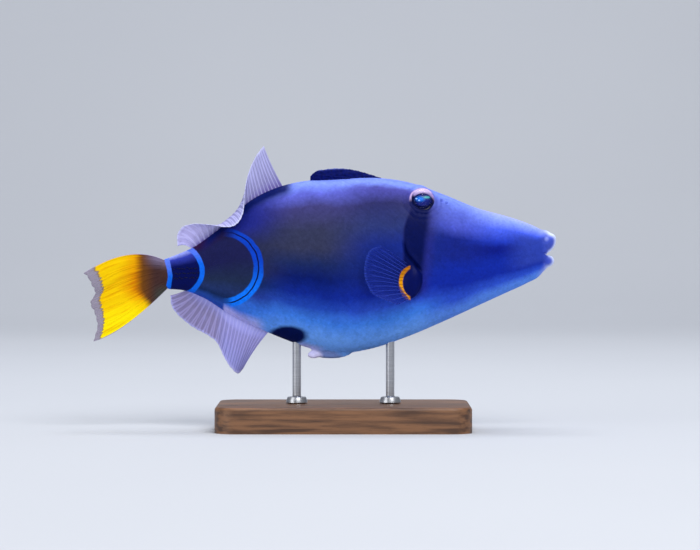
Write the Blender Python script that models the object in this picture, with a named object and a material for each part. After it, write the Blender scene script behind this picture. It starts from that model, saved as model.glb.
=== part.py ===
"""Halfmoon picasso triggerfish, a still life-size model held over a flat base by two short rods.

The fish looks along +X, its right side faces -Y and +Z is up. The origin is the middle of the
whole model, at the level of the base's underside. Sizes are named in millimetres and the scene is
in metres. The flesh is one lofted body that thin cuts part into head, torso and tail stem. Each fin
is a sheet of rays that starts inside the body and is trimmed to it with a small gap.
"""

import math

import bmesh
import bpy
from mathutils import Matrix, Vector

MM = 0.001
GAP = 0.3 * MM
SMALLEST_EDGE = 0.002 * MM
CREASE_ANGLE = math.radians(40)

# The whole fish
TOTAL_LENGTH = 220 * MM
SNOUT_X = TOTAL_LENGTH / 2
MOUTH_X = SNOUT_X - 4.4 * MM
MOUTH_HEIGHT = 81.7 * MM
NOSE_UP = math.radians(3.0)

# The lofted body, from the flat end of the tail stem to the blunt end of the snout
STEM_END_X = -72.6 * MM
BODY_FRONT_X = SNOUT_X - 4.8 * MM
BODY_STATIONS = 48
BODY_SIDES = 32

# Height of the back above the axis at each x
BACK = ((-72.6, 7.2), (-66, 9.3), (-58.4, 12.4), (-47.2, 20.9), (-31.4, 33.0), (-20.6, 37.6),
        (-10, 39.7), (5.5, 40.2), (26, 39.7), (40.4, 37.0), (57.2, 30.4), (73.5, 23.0),
        (86.1, 18.9), (94.4, 15.8), (101.5, 12.4), (105.2, 10.1))
# Depth of the belly below the axis at each x
BELLY = ((-72.6, 7.0), (-62, 8.8), (-54.2, 12.4), (-39.7, 22.4), (-28, 28.2), (-16.9, 33.4),
         (-5, 38.3), (8, 41.3), (23.6, 40.0), (40.4, 35.3), (57.2, 29.1), (73.5, 22.5),
         (86.1, 17.4), (96.3, 13.2), (102.4, 9.9), (105.2, 6.3))
# Half of the body's width at each x
HALF_WIDTH = ((-72.6, 2.3), (-66, 3.7), (-58.4, 4.7), (-47, 6.8), (-31, 11.0), (-14, 15.0),
              (4, 17.2), (22, 17.7), (40, 16.6), (57, 14.2), (75, 10.8), (90, 7.9), (100, 5.7),
              (105.2, 4.2))
# How full each section is: 2 is an ellipse, less is keeled and more is square-shouldered
BACK_FULLNESS = ((-72.6, 2.0), (-40, 1.75), (0, 1.85), (25, 2.0), (44, 2.4), (55, 2.35), (75, 2.0),
                 (105.2, 2.0))
BELLY_FULLNESS = ((-72.6, 2.0), (-40, 1.75), (-10, 1.65), (20, 1.7), (60, 1.8), (105.2, 2.0))

# Where the flesh is parted
GILL_TOP = Vector((38.5, 0, 87.8)) * MM
GILL_BOTTOM = Vector((46.5, 0, 73.8)) * MM
STEM_CUT_X = -61.0 * MM

# Head
UPPER_LIP_CENTRE = Vector((106.1, 0, 86.6)) * MM
UPPER_LIP_RADII = Vector((3.7, 4.9, 6.0)) * MM
UPPER_LIP_LEAN = math.radians(22)
LOWER_LIP_CENTRE = Vector((105.8, 0, 78.8)) * MM
LOWER_LIP_RADII = Vector((3.2, 4.4, 3.1)) * MM
MOUTH_SLIT = Vector((12, 14, 0.6)) * MM
MOUTH_SLIT_BACK_X = 102.6 * MM
EYE_X = 47.4 * MM
EYE_Z = 106.9 * MM
EYE_RADIUS = 6.2 * MM
EYE_HALF_DEPTH = 4.6 * MM
EYE_SUNK = 2.5 * MM
BROW_RADIUS = 8.8 * MM
BROW_HALF_DEPTH = 4.8 * MM
BROW_SUNK = 4.7 * MM
LID_RADIUS = 5.9 * MM
LID_THICKNESS = 0.95 * MM
LID_SUNK = 0.75 * MM
NOSTRIL_X = 56.2 * MM
NOSTRIL_Z = 106.4 * MM
NOSTRIL_SPACING = 2.4 * MM
NOSTRIL_RADIUS = 0.6 * MM
GILL_SLIT = Vector((1.2, 9.0, 16.5)) * MM
GILL_SLIT_DEPTH = 1.8 * MM

# Fleshy pad that carries the pectoral fin
PAD_X = 42.4 * MM
PAD_Z = 68.2 * MM
PAD_RADII = Vector((4.5, 2.5, 7.6)) * MM
PAD_LEAN = math.radians(10)

# Fins: rays counted as in the species, membrane and ridge as half thicknesses
ROOT_SINK = 2.6 * MM
FIN_ROWS = 8
MEMBRANE_AT_ROOT = 0.34 * MM
MEMBRANE_AT_TIP = 0.25 * MM
RAY_RIDGE = 0.26 * MM
RIDGE_FADE = 0.7
DORSAL_FRONT_RAYS = 11
DORSAL_REAR_RAYS = 15
DORSAL_PARTING = 0.42
ANAL_RAYS = 23
TAIL_RAYS = 12
PECTORAL_RAYS = 14
TAIL_ROOT_HALF = 1.9 * MM

# Key rays of each fin: place along the root from 0 to 1, then x, y, z
DORSAL_ROOT_X = (-16.4, -58.4)
DORSAL_BOW = ((0, -23.1, 0, 122.6), (0.15, -27.0, 0, 119.5), (0.35, -32.6, 0.6, 113),
              (0.5, -37.2, -1.0, 107.2), (0.66, -42.8, -5.0, 101.8), (0.8, -50.2, -5.0, 96.2),
              (0.9, -56.2, -2.0, 93.4), (1, -63.0, 0, 87.4))
DORSAL_TIP = ((0, -26.4, 0.3, 132.2), (0.15, -29.3, 0.8, 128.6), (0.35, -33.6, 0.8, 119.2),
              (0.46, -34.9, -3.6, 111.4), (0.56, -35.7, -9.0, 100.8), (0.66, -38.6, -10.8, 95.4),
              (0.75, -44.0, -9.4, 94.2), (0.84, -52.2, -6.2, 95.2), (0.92, -61.0, -2.6, 94.9),
              (0.97, -65.8, -0.4, 91.0), (1, -67.1, 0.4, 86.6))
ANAL_ROOT_X = (-22.8, -60.0)
ANAL_BOW = ((0, -30.6, 0, 38.6), (0.3, -37.6, -3.0, 38.5), (0.5, -43.0, -2.6, 43.0),
            (0.65, -49.6, 0.8, 51.4), (0.84, -59.0, 2.0, 56.4), (1, -65.0, 0.8, 63.4))
ANAL_TIP = ((0, -36.3, -0.6, 27.7), (0.18, -38.6, -3.2, 26.1), (0.35, -41.6, -5.2, 28.8),
            (0.48, -44.8, -4.4, 34.0), (0.6, -48.8, -0.6, 41.2), (0.72, -57.0, 3.0, 45.9),
            (0.84, -64.6, 3.2, 51.2), (0.93, -69.4, 2.0, 57.4), (1, -69.9, 0.9, 62.4))
TAIL_ROOT = ((0, -70.9, 0, 78.0), (1, -70.6, 0, 66.2))
TAIL_BOW = ((0, -88.4, -1.4, 87.6), (0.5, -88.4, 0.6, 66.6), (1, -92.4, 0.8, 44.2))
TAIL_TIP = ((0, -110, -3.2, 72.8), (0.12, -107.4, -2.4, 68.8), (0.28, -105.0, -1.0, 64.2),
            (0.5, -107.2, 0.9, 58.2), (0.62, -105.4, 1.6, 54.4), (0.8, -104.3, 2.2, 48.2),
            (1, -105.9, 2.4, 40.9))
# Pectoral: y counts outwards from the body's side at the root
PECTORAL_ROOT = ((0, 42.8, -0.6, 75.4), (0.5, 40.2, -0.6, 68.2), (1, 43.2, -0.6, 62.0))
PECTORAL_BOW = ((0, 34.2, 4.4, 82.2), (0.5, 30.0, 5.2, 72.6), (1, 38.8, 3.6, 59.6))
PECTORAL_TIP = ((0, 28.0, 7.4, 85.8), (0.2, 22.9, 8.8, 83.8), (0.4, 20.5, 9.4, 77.6),
                (0.6, 20.7, 9.2, 70.2), (0.8, 24.2, 8.2, 63.6), (1, 35.4, 5.6, 58.6))

# Folded spiny dorsal fin: half width and top height of the blade at each x
BLADE_ENDS_X = (-4.7, 29.0)
BLADE_TOP = ((-4.7, 117.9), (-2.3, 120.0), (2, 121.0), (8.7, 121.5), (13.8, 121.1),
             (18.5, 120.1), (23.6, 118.6), (29, 116.8))
BLADE_HALF_WIDTH = ((-4.7, 0.5), (-2.3, 1.3), (4, 1.9), (14, 1.8), (24, 1.2), (29, 0.6))
BLADE_STATIONS = 14
BLADE_SIDES = 12
# Each spine: x and z of its base and of its tip, its y, its radius at base and tip, and its bow
SPINES = (((28.0, 115.4), (-2.0, 120.4), 0.0, 1.3, 0.6, 2.0),
          ((14.0, 116.6), (-3.2, 118.4), -1.5, 0.9, 0.4, 0.4),
          ((6.0, 116.6), (-3.6, 117.4), 1.5, 0.8, 0.4, 0.4))
SPINE_STEPS = 6
SPINE_SIDES = 10
BLADE_SHOULDER = 0.6

# Pelvic flap under the belly
FLAP_CENTRE = Vector((4.2, 0, 36.0)) * MM
FLAP_RADII = Vector((10.4, 1.7, 3.1)) * MM
KNOB_CENTRE = Vector((-2.9, 0, 35.2)) * MM
KNOB_RADII = Vector((3.2, 2.0, 2.1)) * MM

# Stand
BASE_SIZE = Vector((118, 72, 12)) * MM
BASE_CORNER = 10 * MM
BASE_EDGE = 1.5 * MM
ROD_X = (-11.0 * MM, 32.5 * MM)
ROD_RADIUS = 2.0 * MM
ROD_FOOT_RADIUS = 5.0 * MM
ROD_FOOT_HEIGHT = 3.0 * MM
ROD_FOOT_TAPER = 0.86
ROD_SIDES = 20


def smooth_curve(points, scale=MM):
    """A function that runs smoothly through (place, value) points, level past both ends."""
    places = [place for place, _ in points]
    values = [value for _, value in points]
    steps = [b - a for a, b in zip(places, places[1:])]
    slopes = [(b - a) / h for a, b, h in zip(values, values[1:], steps)]
    tangents = [slopes[0]]
    for before, after, h0, h1 in zip(slopes, slopes[1:], steps, steps[1:]):
        tangents.append((before * h1 + after * h0) / (h0 + h1))
    tangents.append(slopes[-1])

    def value_at(place):
        place = min(max(place, places[0]), places[-1])
        i = max(k for k in range(len(steps)) if places[k] <= place or k == 0)
        h = steps[i]
        t = (place - places[i]) / h
        return scale * (
            values[i] * (2 * t**3 - 3 * t**2 + 1)
            + tangents[i] * h * (t**3 - 2 * t**2 + t)
            + values[i + 1] * (3 * t**2 - 2 * t**3)
            + tangents[i + 1] * h * (t**3 - t**2)
        )

    return value_at


def along_x(points, scale=MM):
    """The smooth curve through points whose places are x in millimetres, read with x in metres."""
    curve = smooth_curve(points, scale)
    return lambda x: curve(x / MM)


def space_curve(keys):
    """A smooth line in space through (place, x, y, z) keys, with places from 0 to 1."""
    parts = [smooth_curve([(key[0], key[k]) for key in keys]) for k in (1, 2, 3)]
    return lambda u: Vector([part(u) for part in parts])


back = along_x(BACK)
belly = along_x(BELLY)
half_width = along_x(HALF_WIDTH)
back_fullness = along_x(BACK_FULLNESS, 1)
belly_fullness = along_x(BELLY_FULLNESS, 1)


def axis_height(x):
    """Height above the floor of the line from the mouth to the middle of the tail stem."""
    return MOUTH_HEIGHT - math.tan(NOSE_UP) * (MOUTH_X - x)


def back_height(x):
    """Height above the floor of the back's ridge."""
    return axis_height(x) + back(x)


def belly_height(x):
    """Height above the floor of the belly's keel."""
    return axis_height(x) - belly(x)


def side_y(x, z):
    """Distance of the body's side from the middle plane at this x and height."""
    rise = z - axis_height(x)
    reach, power = (back(x), back_fullness(x)) if rise > 0 else (belly(x), belly_fullness(x))
    share = min(abs(rise) / reach, 1)
    return half_width(x) * (1 - share**power) ** (1 / power)


def side_normal(x, z, side):
    """Direction straight out of the body's side."""
    step = 0.5 * MM
    slope_x = (side_y(x + step, z) - side_y(x - step, z)) / (2 * step)
    slope_z = (side_y(x, z + step) - side_y(x, z - step)) / (2 * step)
    return Vector((-slope_x, side, -slope_z)).normalized()


def section_point(x, turn, grow):
    """A point of the body's section at x: turn runs from the ridge round the left side."""
    rise, out = math.cos(turn), math.sin(turn)
    reach, power = (back(x), back_fullness(x)) if rise > 0 else (belly(x), belly_fullness(x))
    z = (reach + grow) * math.copysign(abs(rise) ** (2 / power), rise)
    y = (half_width(x) + grow) * math.copysign(abs(out) ** (2 / power), out)
    return Vector((0, y, axis_height(x) + z))


def loft(rings):
    """A closed bmesh over rings of points, with a flat cap on each end."""
    bm = bmesh.new()
    loops = [[bm.verts.new(point) for point in ring] for ring in rings]
    for a, b in zip(loops, loops[1:]):
        for k in range(len(a)):
            following = (k + 1) % len(a)
            bm.faces.new((a[k], a[following], b[following], b[k]))
    bm.faces.new(loops[0])
    bm.faces.new(reversed(loops[-1]))
    bmesh.ops.recalc_face_normals(bm, faces=bm.faces)
    return bm


def tube(path, radii, sides):
    """A round closed tube along a path, with its own radius at each point."""
    rings = []
    for i, (centre, radius) in enumerate(zip(path, radii)):
        along = (path[min(i + 1, len(path) - 1)] - path[max(i - 1, 0)]).normalized()
        turn = along.to_track_quat("Z", "Y")
        angles = [2 * math.pi * k / sides for k in range(sides)]
        rings.append([centre + turn @ Vector((math.cos(a), math.sin(a), 0)) * radius for a in angles])
    return loft(rings)


def ellipsoid(centre, radii, turn=None, around=18, up=10):
    """A closed ball stretched to three radii, then turned and placed."""
    bm = bmesh.new()
    bmesh.ops.create_uvsphere(bm, u_segments=around, v_segments=up, radius=1)
    turn = turn or Matrix.Identity(3)
    place = Matrix.Translation(centre) @ turn.to_4x4() @ Matrix.Diagonal((*radii, 1))
    bmesh.ops.transform(bm, matrix=place, verts=bm.verts)
    return bm


def block(centre, size, turn=None):
    """A closed box of this size, turned and placed."""
    bm = bmesh.new()
    bmesh.ops.create_cube(bm, size=1)
    turn = turn or Matrix.Identity(3)
    place = Matrix.Translation(centre) @ turn.to_4x4() @ Matrix.Diagonal((*size, 1))
    bmesh.ops.transform(bm, matrix=place, verts=bm.verts)
    return bm


def make_object(name, bm, material=None):
    """Turns a bmesh into an object of the scene."""
    mesh = bpy.data.meshes.new(name)
    bm.to_mesh(mesh)
    bm.free()
    if material:
        mesh.materials.append(material)
    obj = bpy.data.objects.new(name, mesh)
    bpy.context.scene.collection.objects.link(obj)
    return obj


def combine(target, pieces, operation):
    """Joins a collection of closed pieces to the target, or cuts them out of it, and applies that."""
    tools = bpy.data.collections.new("tools")
    bpy.context.scene.collection.children.link(tools)
    for bm in pieces:
        piece = make_object("tool", bm)
        bpy.context.scene.collection.objects.unlink(piece)
        tools.objects.link(piece)
    modifier = target.modifiers.new("combine", "BOOLEAN")
    modifier.operation = operation
    modifier.operand_type = "COLLECTION"
    modifier.collection = tools
    modifier.solver = "EXACT"
    graph = bpy.context.evaluated_depsgraph_get()
    made = bpy.data.meshes.new_from_object(target.evaluated_get(graph))
    target.modifiers.clear()
    target.data = made
    for piece in list(tools.objects):
        bpy.data.objects.remove(piece)
    bpy.data.collections.remove(tools)


def keep_largest(bm):
    """Deletes every closed surface but the one with the most room inside."""
    unseen = set(bm.faces)
    shells = []
    while unseen:
        shell = set()
        edge_of_search = [unseen.pop()]
        while edge_of_search:
            face = edge_of_search.pop()
            shell.add(face)
            near = {other for edge in face.edges for other in edge.link_faces} & unseen
            unseen -= near
            edge_of_search.extend(near)
        shells.append(shell)

    def room(shell):
        return abs(sum(f.calc_center_median().dot(f.normal) * f.calc_area() for f in shell))

    largest = max(shells, key=room)
    scraps = [face for face in bm.faces if face not in largest]
    bmesh.ops.delete(bm, geom=scraps, context="FACES")


def finish_node(obj):
    """Triangulates a node's mesh, leaves one closed surface and shades it smooth up to sharp edges."""
    bm = bmesh.new()
    bm.from_mesh(obj.data)
    bmesh.ops.remove_doubles(bm, verts=bm.verts, dist=SMALLEST_EDGE)
    bmesh.ops.dissolve_degenerate(bm, edges=bm.edges, dist=SMALLEST_EDGE)
    bmesh.ops.triangulate(bm, faces=bm.faces)
    keep_largest(bm)
    bm.to_mesh(obj.data)
    bm.free()
    obj.data.shade_smooth()
    obj.data.set_sharp_from_angle(angle=CREASE_ANGLE)


def paint(name, colour, roughness, metallic=0.0):
    """A plain material of this colour."""
    material = bpy.data.materials.new(name)
    material.use_nodes = True
    shader = material.node_tree.nodes["Principled BSDF"]
    shader.inputs["Base Color"].default_value = (*colour, 1)
    shader.inputs["Roughness"].default_value = roughness
    shader.inputs["Metallic"].default_value = metallic
    return material


def body_loft(grow=0.0):
    """The whole flesh without head details. Grow makes it larger all round, as a cutter."""
    first, last = STEM_END_X - grow, BODY_FRONT_X + grow
    turns = [2 * math.pi * k / BODY_SIDES for k in range(BODY_SIDES)]
    rings = []
    for i in range(BODY_STATIONS + 1):
        x = first + (last - first) * i / BODY_STATIONS
        rings.append([section_point(x, turn, grow) + Vector((x, 0, 0)) for turn in turns])
    return loft(rings)


def eye_place(side, sunk):
    """Centre and turn of the eye: its local Z looks out of the head, a little up."""
    spot = Vector((EYE_X, side * side_y(EYE_X, EYE_Z), EYE_Z))
    look = (side_normal(EYE_X, EYE_Z, side) + Vector((0, side, 0))).normalized()
    turn = look.to_track_quat("Z", "Y").to_matrix()
    return spot - look * sunk, turn


def eyeball(side, grow=0.0):
    """The eye of one side, or with grow the hollow that it sits in."""
    centre, turn = eye_place(side, EYE_SUNK)
    radii = (EYE_RADIUS + grow, EYE_RADIUS + grow, EYE_HALF_DEPTH + grow)
    return ellipsoid(centre, radii, turn, 22, 12)


def brow(side):
    """The low mound of skin that carries the eye."""
    centre, turn = eye_place(side, BROW_SUNK)
    return ellipsoid(centre, (BROW_RADIUS, BROW_RADIUS, BROW_HALF_DEPTH), turn, 22, 10)


def lid(side):
    """The round fold of skin that rims the eye."""
    centre, turn = eye_place(side, LID_SUNK)
    bm = bmesh.new()
    bmesh.ops.create_circle(bm, segments=8, radius=LID_THICKNESS)
    stand_up = Matrix.Translation((LID_RADIUS, 0, 0)) @ Matrix.Rotation(math.pi / 2, 4, "X")
    bmesh.ops.transform(bm, matrix=stand_up, verts=bm.verts)
    bmesh.ops.spin(bm, geom=bm.verts[:] + bm.edges[:], cent=(0, 0, 0), axis=(0, 0, 1),
                   angle=2 * math.pi, steps=24, use_merge=True)
    bmesh.ops.remove_doubles(bm, verts=bm.verts, dist=SMALLEST_EDGE)
    bmesh.ops.recalc_face_normals(bm, faces=bm.faces)
    bmesh.ops.transform(bm, matrix=Matrix.Translation(centre) @ turn.to_4x4(), verts=bm.verts)
    return bm


def nostril(side, number):
    """A pit for one of the two nostrils in front of an eye."""
    x = NOSTRIL_X + number * NOSTRIL_SPACING
    z = NOSTRIL_Z - number * 0.5 * NOSTRIL_SPACING
    centre = Vector((x, side * side_y(x, z), z))
    return ellipsoid(centre, [NOSTRIL_RADIUS * k for k in (1.3, 2.0, 1.0)], None, 10, 8)


def gill_directions():
    """Directions along the gill opening and forwards across it."""
    along = (GILL_TOP - GILL_BOTTOM).normalized()
    return along, Vector((along.z, 0, -along.x))


def gill_slit(side):
    """The groove of one gill opening."""
    middle = (GILL_TOP + GILL_BOTTOM) / 2
    wall = side_y(middle.x, middle.z) - GILL_SLIT_DEPTH
    centre = Vector((middle.x, side * (wall + GILL_SLIT.y / 2), middle.z))
    along, forward = gill_directions()
    turn = Matrix((forward, Vector((0, 1, 0)), along)).transposed()
    return block(centre, GILL_SLIT, turn)


def pectoral_pad(side, grow=0.0):
    """The fleshy root of a pectoral fin."""
    centre = Vector((PAD_X, side * side_y(PAD_X, PAD_Z), PAD_Z))
    turn = Matrix.Rotation(PAD_LEAN, 3, "Y")
    return ellipsoid(centre, [radius + grow for radius in PAD_RADII], turn, 18, 10)


def flesh():
    """The body with lips, eye rims and fin pads joined on and its openings cut."""
    body = make_object("flesh", body_loft())
    lean = Matrix.Rotation(UPPER_LIP_LEAN, 3, "Y")
    lips = [ellipsoid(UPPER_LIP_CENTRE, UPPER_LIP_RADII, lean),
            ellipsoid(LOWER_LIP_CENTRE, LOWER_LIP_RADII)]
    sides = (-1, 1)
    raised = lips + [make(side) for make in (brow, lid, pectoral_pad) for side in sides]
    combine(body, raised, "UNION")
    slit_centre = Vector((MOUTH_SLIT_BACK_X + MOUTH_SLIT.x / 2, 0, MOUTH_HEIGHT))
    cuts = [block(slit_centre, MOUTH_SLIT)]
    for side in sides:
        cuts += [eyeball(side, GAP), nostril(side, 0), nostril(side, 1), gill_slit(side)]
    combine(body, cuts, "DIFFERENCE")
    return body


def slice_of(body, name, planes, material):
    """A copy of the body between planes, each a point and the direction that is cut away."""
    bm = bmesh.new()
    bm.from_mesh(body.data)
    for point, away in planes:
        everything = bm.verts[:] + bm.edges[:] + bm.faces[:]
        bmesh.ops.bisect_plane(bm, geom=everything, plane_co=point, plane_no=away, clear_outer=True)
        rim = [edge for edge in bm.edges if edge.is_boundary]
        bmesh.ops.holes_fill(bm, edges=rim, sides=0)
    obj = make_object(name, bm, material)
    finish_node(obj)
    return obj


def flesh_nodes(material):
    """Head, torso and tail stem, parted by thin cuts."""
    body = flesh()
    forward = gill_directions()[1]
    gill = (GILL_TOP + GILL_BOTTOM) / 2
    stem = Vector((STEM_CUT_X, 0, 0))
    ahead = Vector((1, 0, 0))
    half = GAP / 2
    slice_of(body, "head", [(gill + forward * half, -forward)], material)
    slice_of(body, "torso", [(gill - forward * half, forward), (stem + ahead * half, -ahead)], material)
    slice_of(body, "tail_stem", [(stem - ahead * half, ahead)], material)
    bpy.data.objects.remove(body)


def ray_point(root, bow, tip, along):
    """A point of a ray: a simple arc from root to tip, pulled towards the bow."""
    return root * (1 - along) ** 2 + bow * 2 * along * (1 - along) + tip * along**2


def fin_sheet(root, bow, tip, rays, root_half=MEMBRANE_AT_ROOT, span=(0, 1)):
    """A closed fin between three lines in space, split into the same triangles on both faces.

    A column of points runs along each ray, where it is raised, and another along the skin between.
    """
    columns, rows = 2 * rays - 1, FIN_ROWS
    grid, halves = [], []
    for i in range(columns):
        u = span[0] + (span[1] - span[0]) * i / (columns - 1)
        on_ray = i % 2 == 0
        line, thick = [], []
        for j in range(rows + 1):
            v = j / rows
            line.append(ray_point(root(u), bow(u), tip(u), v))
            half = MEMBRANE_AT_TIP + (root_half - MEMBRANE_AT_TIP) * (1 - v) ** 2
            thick.append(half + (RAY_RIDGE * (1 - v) ** RIDGE_FADE if on_ray else 0))
        grid.append(line)
        halves.append(thick)

    def normal(i, j):
        across = grid[min(i + 1, columns - 1)][j] - grid[max(i - 1, 0)][j]
        outward = grid[i][min(j + 1, rows)] - grid[i][max(j - 1, 0)]
        return across.cross(outward).normalized()

    bm = bmesh.new()
    faces = []
    for face_side in (1, -1):
        faces.append([
            [bm.verts.new(grid[i][j] + normal(i, j) * halves[i][j] * face_side) for j in range(rows + 1)]
            for i in range(columns)
        ])
    for sheet in faces:
        for i in range(columns - 1):
            for j in range(rows):
                a, b, c, d = sheet[i][j], sheet[i + 1][j], sheet[i + 1][j + 1], sheet[i][j + 1]
                bm.faces.new((a, b, c))
                bm.faces.new((a, c, d))
    front, rear = faces
    border = [(i, 0) for i in range(columns)]
    border += [(columns - 1, j) for j in range(1, rows + 1)]
    border += [(i, rows) for i in range(columns - 2, -1, -1)]
    border += [(0, j) for j in range(rows - 1, 0, -1)]
    for (i, j), (p, q) in zip(border, border[1:] + border[:1]):
        bm.faces.new((front[i][j], front[p][q], rear[p][q], rear[i][j]))
    bmesh.ops.recalc_face_normals(bm, faces=bm.faces)
    return bm


def midline_root(ends, height, sink):
    """Root line of a fin on the middle plane, sunk into the ridge or keel."""
    first, last = (x * MM for x in ends)

    def root(u):
        x = first + (last - first) * u
        return Vector((x, 0, height(x) + sink))

    return root


def fin_node(name, sheet, cutters, material):
    """A fin trimmed to the body that it grows from."""
    obj = make_object(name, sheet, material)
    combine(obj, cutters, "DIFFERENCE")
    finish_node(obj)


def midline_fins(material, tail_material):
    """Soft dorsal, anal and tail fins."""
    dorsal_root = midline_root(DORSAL_ROOT_X, back_height, -ROOT_SINK)
    dorsal_lines = (dorsal_root, space_curve(DORSAL_BOW), space_curve(DORSAL_TIP))
    root_length = (DORSAL_ROOT_X[0] - DORSAL_ROOT_X[1]) * MM
    half_gap = GAP / 2 / root_length
    for name, rays, span in (
        ("soft_dorsal_front", DORSAL_FRONT_RAYS, (0, DORSAL_PARTING - half_gap)),
        ("soft_dorsal_rear", DORSAL_REAR_RAYS, (DORSAL_PARTING + half_gap, 1)),
    ):
        sheet = fin_sheet(*dorsal_lines, rays, MEMBRANE_AT_ROOT, span)
        fin_node(name, sheet, [body_loft(GAP)], material)
    anal_root = midline_root(ANAL_ROOT_X, belly_height, ROOT_SINK)
    anal = fin_sheet(anal_root, space_curve(ANAL_BOW), space_curve(ANAL_TIP), ANAL_RAYS)
    fin_node("anal_fin", anal, [body_loft(GAP)], material)
    tail_lines = [space_curve(keys) for keys in (TAIL_ROOT, TAIL_BOW, TAIL_TIP)]
    tail = fin_sheet(*tail_lines, TAIL_RAYS, TAIL_ROOT_HALF)
    fin_node("tail_fin", tail, [body_loft(GAP)], tail_material)


def pectoral_line(keys, side):
    """A line of the pectoral fin, with y counted outwards from the body's side at the root."""
    line = space_curve(keys)

    def place(u):
        point = line(u)
        return Vector((point.x, side * (side_y(PAD_X, PAD_Z) + point.y), point.z))

    return place


def pectoral_fins(material):
    """A fan of rays on each side, rooted in its pad."""
    for name, side in (("pectoral_fin_right", -1), ("pectoral_fin_left", 1)):
        lines = [pectoral_line(keys, side) for keys in (PECTORAL_ROOT, PECTORAL_BOW, PECTORAL_TIP)]
        cutters = [body_loft(GAP), pectoral_pad(side, GAP)]
        fin_node(name, fin_sheet(*lines, PECTORAL_RAYS), cutters, material)


def spiny_dorsal(material):
    """The first dorsal fin, folded down into a low blade with its three spines along it."""
    top, width = along_x(BLADE_TOP), along_x(BLADE_HALF_WIDTH)
    first, last = (x * MM for x in BLADE_ENDS_X)
    rings = []
    for i in range(BLADE_STATIONS + 1):
        x = first + (last - first) * i / BLADE_STATIONS
        foot = back_height(x) - ROOT_SINK
        ring = []
        for k in range(BLADE_SIDES):
            turn = math.pi * k / (BLADE_SIDES - 1)
            rise = math.sin(turn) ** BLADE_SHOULDER
            ring.append(Vector((x, width(x) * math.cos(turn), foot + (top(x) - foot) * rise)))
        rings.append(ring)
    obj = make_object("spiny_dorsal_fin", loft(rings), material)
    spines = []
    for base, tip, offset, thick, thin, rise in SPINES:
        start = Vector((base[0], offset, base[1])) * MM
        end = Vector((tip[0], offset, tip[1])) * MM
        bow = (start + end) / 2 + Vector((0, 0, rise * MM))
        steps = [k / SPINE_STEPS for k in range(SPINE_STEPS + 1)]
        path = [ray_point(start, bow, end, t) for t in steps]
        spines.append(tube(path, [(thick + (thin - thick) * t) * MM for t in steps], SPINE_SIDES))
    combine(obj, spines, "UNION")
    combine(obj, [body_loft(GAP)], "DIFFERENCE")
    finish_node(obj)


def pelvic_flap(material):
    """The low flap that ends the pelvic bone, with its rough knob at the rear."""
    obj = make_object("pelvic_flap", ellipsoid(FLAP_CENTRE, FLAP_RADII), material)
    combine(obj, [ellipsoid(KNOB_CENTRE, KNOB_RADII, None, 12, 8)], "UNION")
    combine(obj, [body_loft(GAP)], "DIFFERENCE")
    finish_node(obj)


def stand(base_material, rod_material):
    """A flat base with rounded corners and two rods that end on the belly."""
    middle = sum(ROD_X) / 2
    bm = block(Vector((middle, 0, BASE_SIZE.z / 2)), BASE_SIZE)
    upright = [e for e in bm.edges if abs(e.verts[0].co.z - e.verts[1].co.z) > BASE_SIZE.z / 2]
    bmesh.ops.bevel(bm, geom=upright, offset=BASE_CORNER, segments=8, profile=0.5, affect="EDGES")
    rim = [e for e in bm.edges if all(v.co.z > BASE_SIZE.z / 2 for v in e.verts)]
    bmesh.ops.bevel(bm, geom=rim, offset=BASE_EDGE, segments=3, profile=0.5, affect="EDGES")
    finish_node(make_object("stand_base", bm, base_material))
    for name, x in zip(("stand_rod_rear", "stand_rod_front"), ROD_X):
        foot = BASE_SIZE.z + GAP
        shoulder = foot + ROD_FOOT_HEIGHT
        heights = (foot, shoulder, shoulder, belly_height(x) + ROOT_SINK)
        radii = (ROD_FOOT_RADIUS, ROD_FOOT_RADIUS * ROD_FOOT_TAPER, ROD_RADIUS, ROD_RADIUS)
        rings = []
        for z, radius in zip(heights, radii):
            angles = [2 * math.pi * k / ROD_SIDES for k in range(ROD_SIDES)]
            rings.append([Vector((x + math.cos(a) * radius, math.sin(a) * radius, z)) for a in angles])
        rod = make_object(name, loft(rings), rod_material)
        combine(rod, [body_loft(GAP)], "DIFFERENCE")
        finish_node(rod)


def main():
    for obj in list(bpy.data.objects):
        bpy.data.objects.remove(obj)
    skin = paint("skin", (0.05, 0.08, 0.32), 0.5)
    fin = paint("fin_membrane", (0.40, 0.38, 0.68), 0.45)
    tail = paint("tail_membrane", (0.90, 0.58, 0.02), 0.45)
    spine = paint("spiny_fin", (0.02, 0.03, 0.13), 0.5)
    eye = paint("eye", (0.02, 0.06, 0.22), 0.1)
    wood = paint("stand_wood", (0.20, 0.11, 0.06), 0.5)
    steel = paint("stand_steel", (0.60, 0.60, 0.62), 0.3, 1.0)
    flesh_nodes(skin)
    for name, side in (("eye_right", -1), ("eye_left", 1)):
        finish_node(make_object(name, eyeball(side), eye))
    midline_fins(fin, tail)
    pectoral_fins(fin)
    spiny_dorsal(spine)
    pelvic_flap(skin)
    stand(wood, steel)


main()
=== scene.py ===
# %% [markdown]
# # Picasso triggerfish: the looks
#
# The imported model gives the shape, the size and the place of every part of the fish, as plain
# solids. This lesson dresses it: one skin without seams, a coat of small bony scales, real eyes,
# fins made of rays and skin, and the markings that this fish is known for. All sizes are in
# millimetres until a mesh is written, because a fish is easier to think about that way.

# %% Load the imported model
import math

import bmesh
import bpy
import numpy as np
from mathutils import Matrix, Vector
from mathutils.bvhtree import BVHTree


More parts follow.
